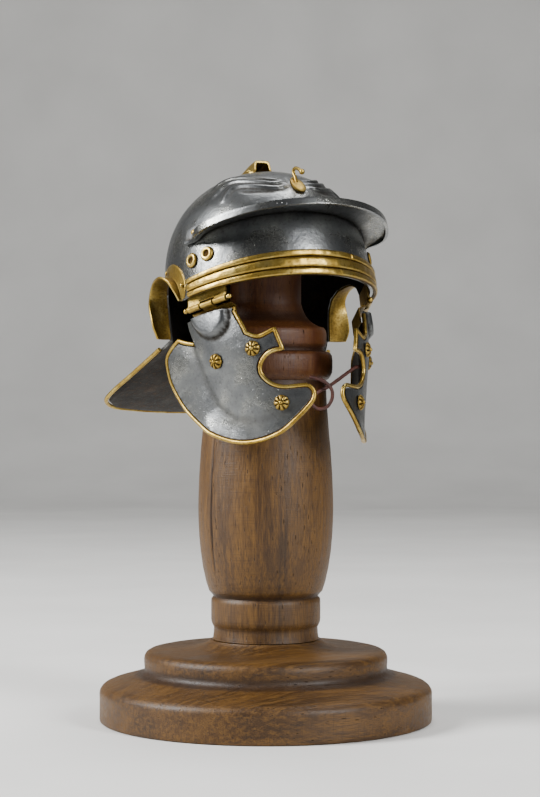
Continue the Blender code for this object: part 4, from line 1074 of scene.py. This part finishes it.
def rosette():
    """A boss with eight raised petals round a centre bead."""
    rings, sides, radius, height = 22, 96, 1.33, 0.96
    points, recess = [], []
    for k in range(rings + 1):
        share = k / rings
        for j in range(sides):
            turn = 2 * math.pi * j / sides
            petal = abs(math.cos(4 * turn)) ** 0.7
            centre = 1 - ease(share, 0.2, 0.3)
            field = ease(share, 0.28, 0.42) * (1 - ease(share, 0.86, 1.0))
            dome = math.sqrt(max(0.0, 1 - share ** 2.6))
            bead = centre * math.sqrt(max(0, 1 - (share / 0.3) ** 2))
            groove = field * (1 - petal)
            moat = (1 - centre) * (1 - ease(share, 0.3, 0.4))
            rise = height * (0.72 * dome + 0.24 * bead - 0.22 * groove - 0.12 * moat)
            outer = radius * share * (1 - 0.07 * (1 - petal) * ease(share, 0.7, 1.0))
            points.append(Vector((outer * math.cos(turn), outer * math.sin(turn), max(rise, 0.06))) * MM)
            round_bead = 0.95 * (1 - ease(abs(share - 0.3), 0.02, 0.1))
            recess.append(max(0.2 + 1.8 * groove, round_bead, 0.6 * ease(share, 0.75, 1.0)))
    base = len(points)
    for j in range(sides):
        turn = 2 * math.pi * j / sides
        points.append(Vector((0.9 * radius * math.cos(turn), 0.9 * radius * math.sin(turn), 0)) * MM)
        recess.append(1.0)
    faces = [tuple(reversed(f)) for f in grid_faces(rings + 2, sides, True)]
    faces.append(tuple(reversed(range(base, base + sides))))
    return mesh_object("rosette", points, faces, recess)


RIVET = turned("rivet", RIVET_PROFILE, 24, RIVET_GRIME)
EYELET = turned("eyelet", (
    (0.01, 0.1), (0.42, 0.1), (0.5, 0.12), (0.56, 0.26), (0.66, 0.4), (0.85, 0.45), (1.05, 0.4), (1.2, 0.26),
    (1.28, 0.1), (1.3, 0.0), (0.01, 0.0)), 40, (1, 1, 1, 0.8, 0.3, 0, 0, 0.3, 0.8, 1, 1))
ROSETTE = rosette()
PATTERNS = (RIVET, EYELET, ROSETTE)


# %% Fittings placed
def place_fittings(name, fitting, size, places, *nodes):
    """Real fittings standing on (point, facing) places."""
    cloud = mesh_object(name, [p for p, _ in places], [])
    facing = cloud.data.attributes.new("facing", "FLOAT_VECTOR", "POINT")
    facing.data.foreach_set("vector", [v for _, n in places for v in n.normalized()])
    cloud.data.attributes.remove(cloud.data.attributes["recess"])
    modifier = cloud.modifiers.new("fittings", "NODES")
    modifier.node_group = FITTINGS
    modifier[FITTING_INPUTS["Fitting"]] = fitting
    modifier[FITTING_INPUTS["Size"]] = size
    modifier[FITTING_INPUTS["Finish"]] = BRASS
    return declare(baked(cloud), BRASS, "brass", *nodes)


def crown_normal(x, y):
    """Direction of the crown's face over a spot of its plan."""
    step = 0.1 * MM
    slope_x = (crown_height(x + step, y) - crown_height(x - step, y)) / (2 * step)
    slope_y = (crown_height(x, y + step) - crown_height(x, y - step)) / (2 * step)
    return Vector((-slope_x, -slope_y, 1)).normalized()


ROSETTE_PLACES = ((69.1, 0.439), (46.4, 0.419), (40.3, 0.785))
EYELET_PLACES = ((72.2, 6.14 * MM), (61.3, 6.36 * MM))
BROW_RIVET_ANGLE, NECK_RIVET_ANGLE, NECK_RIVET_SHARE = 69, 121.5, 0.76
for side, label in ((1, "right"), (-1, "left")):
    spots = [unrolled(*row) for row in ROSETTE_PLACES]
    places = [(flip(cheek_point(s, FIT), side), flip(cheek_normal(s), side)) for s in spots]
    nodes = [f"cheek_rosette_{label}_{k}" for k in (1, 2, 3)]
    place_fittings(f"rosettes {label}", ROSETTE, 1.0, places, *nodes)
    places = [(flip(bowl_point(a, h, FIT), side), flip(bowl_normal(a, h), side)) for a, h in EYELET_PLACES]
    place_fittings(f"eyelets {label}", EYELET, 1.0, places, *[f"eyelet_{label}_{k}" for k in (1, 2)])
    height = between(BROW_SECTIONS, BROW_RIVET_ANGLE)[0] * BROW_HEIGHT + 0.53 * BROW_FLANGE
    spot = bowl_point(BROW_RIVET_ANGLE, height, 2 * FIT + SHEET)
    place = (flip(spot, side), flip(bowl_normal(BROW_RIVET_ANGLE, height), side))
    place_fittings(f"brow guard rivet {label}", RIVET, 1.0, [place], f"brow_guard_rivet_{label}")
    here = neck_point(NECK_RIVET_ANGLE, NECK_RIVET_SHARE)
    along = neck_point(NECK_RIVET_ANGLE + 3, NECK_RIVET_SHARE) - here
    outward = neck_point(NECK_RIVET_ANGLE, NECK_RIVET_SHARE + 0.05) - here
    normal = along.cross(outward).normalized()
    normal = -normal if normal.z < 0 else normal
    place = (flip(here + normal * 2 * FIT, side), flip(normal, side))
    place_fittings(f"neck guard rivet {label}", RIVET, 1.3, [place], f"neck_guard_rivet_{label}")

# %% [markdown]
# ## Hinges
# Each hinge has an upper leaf behind the bowl, a lower leaf behind the cheek guard, three
# knuckles and a pin with a turned ball at each end.

# %% Hinges
HINGE_FRONT_ANGLE, HINGE_REAR_ANGLE = 54.0, 81.6
HINGE_STAND_OFF, HINGE_DROP, HINGE_WALL = -0.7 * MM, 1.7 * MM, 0.26 * MM
LEAF_RISE, LEAF_FALL, PIN_RADIUS, PLAY = 3.4 * MM, -3.8 * MM, 0.2 * MM, 0.08 * MM


def hinge_axis():
    """Ends and directions of the right hinge."""
    front, rear = bowl_point(HINGE_FRONT_ANGLE, 0.0), bowl_point(HINGE_REAR_ANGLE, 0.0)
    along = (rear - front).normalized()
    outward = Vector((along.y, -along.x, 0)).normalized()
    outward = -outward if outward.x > 0 else outward
    lift = outward * HINGE_STAND_OFF + Vector((0, 0, -HINGE_DROP))
    return front + lift, rear + lift, along, outward


def cheek_inset(fall):
    """How far in the lower leaf lies behind the plate."""
    front, _, _, outward = hinge_axis()
    corners = [unrolled(CHEEK_OUTLINE[k][0], 0.0) for k in (0, 3)]
    for corner in corners:
        corner.y = fall - HINGE_DROP
    return min((cheek_point(corner) - front).dot(outward) for corner in corners) - SHEET - FIT - HINGE_WALL


def strip(path, thickness):
    """Closed outline of a bent strip."""
    left, right = [], []
    for k, here in enumerate(path):
        along = (path[min(k + 1, len(path) - 1)] - path[max(k - 1, 0)]).normalized()
        away = Vector((-along.y, along.x)) * thickness / 2
        left.append(here + away)
        right.append(here - away)
    return left + right[::-1]


def hinge_piece(name, side, shapes, node):
    """Strips of (section, start, end) along the hinge as one object."""
    front, rear, along, outward = hinge_axis()
    length = (rear - front).length
    points, faces, recess = [], [], []
    for section, start, end in shapes:
        first, size = len(points), len(section)
        shares = (start, start + 0.02, end - 0.02, end)
        for n, share in enumerate(shares):
            origin = front + along * length * share
            points += [flip(origin + outward * p.x + Vector((0, 0, p.y)), side) for p in section]
            recess += [0.9 if n in (0, 3) else 0.25] * size
        faces += [tuple(first + v for v in f) for f in grid_faces(len(shares), size, True)]
        faces += [tuple(range(first, first + size)), tuple(range(first + 3 * size, first + 4 * size))]
    return declare(mesh_object(name, points, faces, recess), BRASS, "brass", node)


def hinge(side, label):
    """Leaves and pin of one side."""
    roll = PIN_RADIUS + PLAY + HINGE_WALL / 2
    clear = roll + HINGE_WALL + FIT
    behind = -(HINGE_STAND_OFF + SHEET + FIT + HINGE_WALL)
    bend = -(CHEEK_OUTLINE[0][1] * CHEEK_DROP - HINGE_DROP) + 0.5 * MM
    upper = [Vector((behind, rise)) for rise in (LEAF_RISE, 2 * clear, clear)]
    lower = [Vector((cheek_inset(y), y)) for y in (LEAF_FALL, bend)] + [Vector((-clear, -0.75 * MM))]
    turns = [math.radians(90 - 300 * k / 24) for k in range(25)]
    over = [Vector((roll * math.cos(t), roll * math.sin(t))) for t in turns]
    under = [lower[1].lerp(lower[2], 0.5)] + [Vector((p.x, -p.y)) for p in over]
    over = [upper[1].lerp(upper[2], 0.5)] + over
    thin = HINGE_WALL * 0.94
    hinge_piece(f"hinge upper leaf {label}", side, [
        (strip(upper, HINGE_WALL), 0.0, 1.0), (strip(over, thin), 0.0, 0.32), (strip(over, thin), 0.68, 1.0)],
        f"hinge_upper_{label}")
    hinge_piece(f"hinge lower leaf {label}", side, [
        (strip(lower, HINGE_WALL), 0.0, 1.0), (strip(under, thin), 0.345, 0.655)], f"hinge_lower_{label}")
    front, rear, along, _ = hinge_axis()
    reach = (rear - front).length / 2 / MM + 0.12
    ball = 0.42
    half = [(0.2, reach), (0.3, reach + 0.05), (0.3, reach + 0.12)]
    tilts = [math.radians(a) for a in range(-50, 89, 12)]
    half += [(ball * math.cos(t), reach + 0.12 + ball + ball * math.sin(t)) for t in tilts]
    profile = [(r, -z) for r, z in reversed(half)] + half
    pin = turned(f"hinge pin {label}", profile, 20)
    direction = flip(along, side).to_track_quat("Z", "Y").to_matrix().to_4x4()
    pin.data.transform(Matrix.Translation(flip((front + rear) / 2, side)) @ direction)
    declare(pin, BRASS, "brass", f"hinge_pin_{label}")


for side, label in ((1, "right"), (-1, "left")):
    hinge(side, label)

# %% [markdown]
# ## Crest box, hook and thong
# The hook is a curled wire on a leaf-shaped plate. The thong is a little uneven, as it was cut.

# %% Crown fittings
def crest_holder():
    """Open-ended box on the crown with a flange on each side."""
    top_half, foot_half, flange_half, front, length = 1.1, 1.35, 2.8, -3.2, 11.0
    top = 2.0
    right = [(0.0, top), (0.55 * top_half, top), (0.92 * top_half, top - 0.02), (top_half, top - 0.12)]
    right += [(top_half + (foot_half - top_half) * t, top + (0.45 - top) * t) for t in (0.25, 0.5, 0.75, 1.0)]
    right += [(foot_half + 0.15, 0.2), (foot_half + 0.4, 0.02)]
    right += [(0.5 * (foot_half + flange_half), 0.0), (flange_half, 0.0)]
    section = [(-x, z) for x, z in reversed(right[1:])] + right
    rows = 33
    points, recess = [], []
    for k in range(rows):
        y = front + length * k / (rows - 1)
        for x, z in section:
            x *= MM
            z *= 1 - 0.525 * k / (rows - 1) if z > 0.3 else 1
            points.append(Vector((x, y * MM, crown_height(x, y * MM) + z * MM + FIT)))
            recess.append(0.8 if 0 < z < 0.6 else 0.15)
    holder = mesh_object("crest box", points, grid_faces(rows, len(section)), recess)
    holder = declare(sheet_metal(holder, BRASS_SHEET, True), BRASS, "brass", "crest_holder")
    inset = (flange_half + foot_half) / 2
    spots = [(x * MM, (front + length * s) * MM) for s in (0.12, 0.88) for x in (-inset, inset)]
    lift = 2 * FIT + BRASS_SHEET * 1.2
    places = [(Vector((x, y, crown_height(x, y) + lift)), crown_normal(x, y)) for x, y in spots]
    place_fittings("crest box rivets", RIVET, 1.0, places, *[f"crest_rivet_{k}" for k in (1, 2, 3, 4)])


# millimetres behind the leaf's middle and out from the bowl
HOOK_ROUTE = ((0.2, 0.3), (0.8, 0.8), (1.35, 1.1), (1.55, 1.7), (1.15, 2.25), (0.5, 2.55), (-0.15, 2.75))
HOOK_WIRE_RADIUS, HOOK_BALL_RADIUS = 0.3 * MM, 0.5 * MM


def crest_hook():
    """Leaf plate, curled wire and ball."""
    length, width, middle_y = 3.4 * MM, 2.3 * MM, -14.6 * MM
    sides, rings = 48, 5
    points, recess = [], []
    for lift in (FIT, FIT + BRASS_SHEET):
        for ring in range(rings + 1):
            size = ring / rings
            for k in range(sides):
                turn = 2 * math.pi * k / sides
                x = size * width / 2 * math.sin(turn) * (1 - 0.25 * math.cos(turn))
                y = middle_y + size * length / 2 * 0.8 * math.cos(turn)
                height = crown_height(x, y)
                drop = 0.06 * MM if size == 1 and lift > FIT else 0.0
                points.append(on_bowl(Vector((x, y, height)), 0.0) + bowl_normal(0, height) * (lift - drop))
                recess.append(0.7 * ease(size, 0.7, 1.0))
    ring_size = (rings + 1) * sides
    faces = [tuple(reversed(f)) for f in grid_faces(rings + 1, sides, True)]
    faces += [tuple(v + ring_size for v in reversed(f)) for f in faces]
    under, over = rings * sides, ring_size + rings * sides
    faces += [(under + k, under + (k + 1) % sides, over + (k + 1) % sides, over + k) for k in range(sides)]
    route = []
    for behind, lift in HOOK_ROUTE:
        base = bowl_point(0, crown_height(0, middle_y + behind * MM))
        route.append(base + bowl_normal(0, base.z) * lift * MM)
    wire, wire_faces = sweep(smooth(route, 6), round_section(HOOK_WIRE_RADIUS), sideways=True)
    first = len(points)
    points += wire
    recess += [0.2] * len(wire)
    faces += [tuple(v + first for v in f) for f in wire_faces]
    first, rows, around = len(points), 12, 20
    for k in range(rows + 1):
        tilt = math.pi * (k + 0.02) / (rows + 0.04) - math.pi / 2
        for j in range(around):
            turn = 2 * math.pi * j / around
            level = Vector((math.cos(turn), math.sin(turn), 0)) * math.cos(tilt)
            points.append(route[-1] + (level + Vector((0, 0, math.sin(tilt)))) * HOOK_BALL_RADIUS)
            recess.append(0.1)
    faces += [tuple(v + first for v in f) for f in grid_faces(rows + 1, around, True)]
    faces += [tuple(range(first, first + around))]
    faces += [tuple(range(first + rows * around, first + (rows + 1) * around))]
    return declare(mesh_object("crest hook", points, faces, recess), BRASS, "brass", "crest_hook_front")


TIE_RADIUS = 0.32 * MM
TIE_ROUTE = (
    (9.5, -11.4, -13.7), (8.3, -12.0, -14.1), (6.2, -12.6, -15.3), (4.0, -13.2, -16.6),
    (1.7, -13.7, -17.9), (-0.6, -13.9, -18.9), (-1.7, -13.6, -20.1), (-0.8, -13.6, -21.5),
    (0.7, -14.2, -21.5), (1.5, -14.9, -20.4), (1.5, -15.4, -19.0), (0.7, -15.5, -17.8),
    (-0.6, -15.1, -16.9), (-2.0, -14.6, -16.4),
)


def chin_tie():
    """Leather thong, uneven as it was cut."""
    route = [p * MM for p in smooth(TIE_ROUTE, 8)]
    sides = 12
    points, faces = sweep(route, round_section(TIE_RADIUS, sides))
    middles = [p for p in route for _ in range(sides)]
    moved = [m + (p - m) * (0.94 + 0.09 * noise.noise(p * 1500)) for p, m in zip(points, middles)]
    return declare(mesh_object("leather thong", moved, faces), LEATHER, "leather", "chin_tie")


crest_holder()
crest_hook()
chin_tie()
for pattern in PATTERNS:
    bpy.data.objects.remove(pattern)

# %% [markdown]
# ## The stand
# Two turnings, finer than the CAD's: the profile is a smooth curve with crisp steps where the
# skew chisel stopped, and faint tool rings.

# %% Stand
BASE_RADIUS, BASE_HEIGHT = 29.0, 14.0
BASE_PROFILE = (
    (0.001, 0.0), (0.985, 0.0), (0.998, 0.012), (1.0, 0.03), (1.0, 0.2), (1.0, 0.35), (0.997, 0.383),
    (0.988, 0.415), (0.972, 0.444), (0.945, 0.468), (0.85, 0.522), (0.77, 0.572), (0.742, 0.6),
    (0.73, 0.64), (0.732, 0.7), (0.733, 0.77), (0.73, 0.806), (0.72, 0.84), (0.702, 0.862),
    (0.67, 0.876), (0.5, 0.885), (0.43, 0.902), (0.375, 0.94), (0.345, 0.975), (0.335, 1.0), (0.001, 1.0),
)
COLUMN_RADIUS, COLUMN_HEIGHT, NECK_RADIUS, HEAD_RADIUS = 11.8, 54.2, 6.2, 8.0
STAND_GAP, COVE_HEIGHT = 0.12, 4.2
COVE = ((0.15, 0.04), (0.3, 0.1), (0.45, 0.18), (0.6, 0.28), (0.73, 0.42), (0.85, 0.6), (0.94, 0.8), (1, 1))
# where the drying crack faces, in radians, and the heights where it starts and ends
CRACK = (math.radians(190), 24.0, 52.0)
COLUMN_PROFILE = (
    (0.001, 0.0), (0.785, 0.0), (0.772, 0.02), (0.768, 0.038), (0.785, 0.045), (0.805, 0.055),
    (0.81, 0.065), (0.81, 0.12),
    (0.805, 0.13), (0.775, 0.137), (0.79, 0.143), (0.84, 0.155), (0.885, 0.185), (0.93, 0.23), (0.965, 0.28),
    (0.985, 0.33), (0.998, 0.38), (1.0, 0.42), (0.998, 0.46), (0.985, 0.53), (0.965, 0.6), (0.94, 0.66),
    (0.915, 0.73), (0.9, 0.78), (0.895, 0.83), (0.93, 0.836), (0.96, 0.845), (0.982, 0.855), (0.99, 0.87),
    (0.99, 0.895), (0.98, 0.91), (0.955, 0.92), (0.862, 0.926), (0.862, 0.934), (0.89, 0.94), (0.9, 0.95),
    (0.9, 0.98), (0.89, 0.992), (0.86, 1.0),
)


ROW_SPACING, CRACK_DEPTH = 0.55, 0.22


def turned_wood(name, profile, finish, node, sides=160, crack=None):
    """A turning about the world's Z axis from rows in millimetres; a drying crack may open in it."""
    rows = []
    for low, high in zip(profile, profile[1:]):
        length = math.hypot(high[0] - low[0], high[1] - low[1])
        steps = max(1, round(length / ROW_SPACING))
        low, high = Vector(low), Vector(high)
        rows += [tuple(low.lerp(high, k / steps)) for k in range(steps)]
    rows.append(profile[-1])
    points, recess = [], []
    for k, (radius, height) in enumerate(rows):
        before, after = rows[max(0, k - 4)], rows[min(len(rows) - 1, k + 4)]
        hollow = (before[0] + after[0]) / 2 - radius
        ring = 1 - 0.0012 * abs(math.sin(height * 5.2))
        for j in range(sides):
            turn = 2 * math.pi * j / sides
            open_here = 0.0
            if crack and crack[1] < height < crack[2]:
                middle = crack[0] + 0.03 * noise.noise(Vector((0, 0, height * 0.18)))
                ends = ease(height, crack[1], crack[1] + 6) * (1 - ease(height, crack[2] - 8, crack[2]))
                open_here = ends * (1 - ease(abs(turn - middle) * radius, 0.08, 0.34))
            cut = radius * ring - CRACK_DEPTH * open_here
            points.append(Vector((cut * math.cos(turn), cut * math.sin(turn), height)) * MM)
            recess.append(max(ease(hollow, 0.1, 0.7) * 0.75, open_here))
    faces = grid_faces(len(rows), sides, True)
    faces += [tuple(reversed(range(sides))), tuple(range((len(rows) - 1) * sides, len(rows) * sides))]
    return declare(mesh_object(name, points, faces, recess), finish, "wood", node, helmet=False, crease=50)


base = [(r * BASE_RADIUS, z * BASE_HEIGHT) for r, z in BASE_PROFILE]
turned_wood("turned base", base, BASE_WOOD, "stand_base")
column = [(r * COLUMN_RADIUS, BASE_HEIGHT + STAND_GAP + z * COLUMN_HEIGHT) for r, z in COLUMN_PROFILE]
lip_radius, lip_height = column[-1]
for inward, rise in COVE:
    column.append((lip_radius + (NECK_RADIUS - lip_radius) * inward, lip_height + rise * COVE_HEIGHT))
HEAD_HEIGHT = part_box("stand_column")[1][2] / MM - HEAD_RADIUS
column.append((NECK_RADIUS, HEAD_HEIGHT - HEAD_RADIUS * 0.9))
tilts = [math.radians(a) for a in range(-30, 90, 8)]
column += [(HEAD_RADIUS * math.cos(t), HEAD_HEIGHT + HEAD_RADIUS * math.sin(t)) for t in tilts]
column.append((0.001, HEAD_HEIGHT + HEAD_RADIUS))
turned_wood("turned column", column, COLUMN_WOOD, "stand_column", 300, CRACK)

# %% [markdown]
# ## Floor and light
# A pale floor that rises into a backdrop, a soft key from the left, a fill on the right and a
# light overhead, with a dim even surround.

# %% Floor and light
def sweep_floor():
    """Floor and backdrop in one curve."""
    reach, bend = 0.7, 0.3
    turns = [math.radians(a) for a in range(10, 91, 10)]
    profile = [(-1.2, 0.0), (reach, 0.0)]
    profile += [(reach + bend * math.sin(t), bend - bend * math.cos(t)) for t in turns]
    profile.append((reach + bend, 1.6))
    heading = Matrix.Rotation(-VIEW_AZIMUTH, 4, "Z")
    points = [heading @ Vector((x, y, z)) for y, z in profile for x in (-2.0, 2.0)]
    floor = mesh_object("studio floor", points, grid_faces(len(profile), 2))
    made, tree, place = start_material("matt paper sweep")
    tone = noise_of(tree, place, 0.02, 3, 0.5)
    colour = ramp(tree, tone, (0.3, "#cfcecb"), (0.7, "#d8d7d4"))
    finish_material(made, tree, colour, 0.85, 0.0, bumps(tree, ((noise_of(tree, place, 1.5), 0.02, 0.3),)))
    floor.data.materials.append(made)
    floor.data.shade_smooth()
    return floor


def area(name, place, target, size, power):
    """A soft rectangular light aimed at a point."""
    data = bpy.data.lights.new(name, "AREA")
    data.shape = "RECTANGLE"
    data.size, data.size_y = size
    data.energy = power
    lamp = bpy.data.objects.new(name, data)
    lamp.location = place
    lamp.rotation_euler = (Vector(target) - Vector(place)).to_track_quat("-Z", "Y").to_euler()
    bpy.context.scene.collection.objects.link(lamp)
    return lamp


def seen_from_camera(right, ahead, up):
    """World place from distances right of, beyond and above the object as the camera sees it."""
    return Matrix.Rotation(-VIEW_AZIMUTH, 4, "Z") @ Vector((right, ahead, up))


MIDDLE = (0, 0, 0.05)
stage = [sweep_floor()]
stage.append(area("key, left", seen_from_camera(-0.5, -0.12, 0.38), MIDDLE, (0.2, 0.3), 8.5))
stage.append(area("fill, right", seen_from_camera(0.42, -0.42, 0.3), MIDDLE, (0.15, 0.3), 4.2))
stage.append(area("top", seen_from_camera(0.05, 0.12, 0.6), MIDDLE, (0.3, 0.2), 2.6))
world = bpy.data.worlds.new("soft studio")
world.use_nodes = True
world.node_tree.nodes["Background"].inputs["Color"].default_value = linear("#d5d7da")
world.node_tree.nodes["Background"].inputs["Strength"].default_value = 0.15
bpy.context.scene.world = world
print("stage:", [s.name for s in stage])
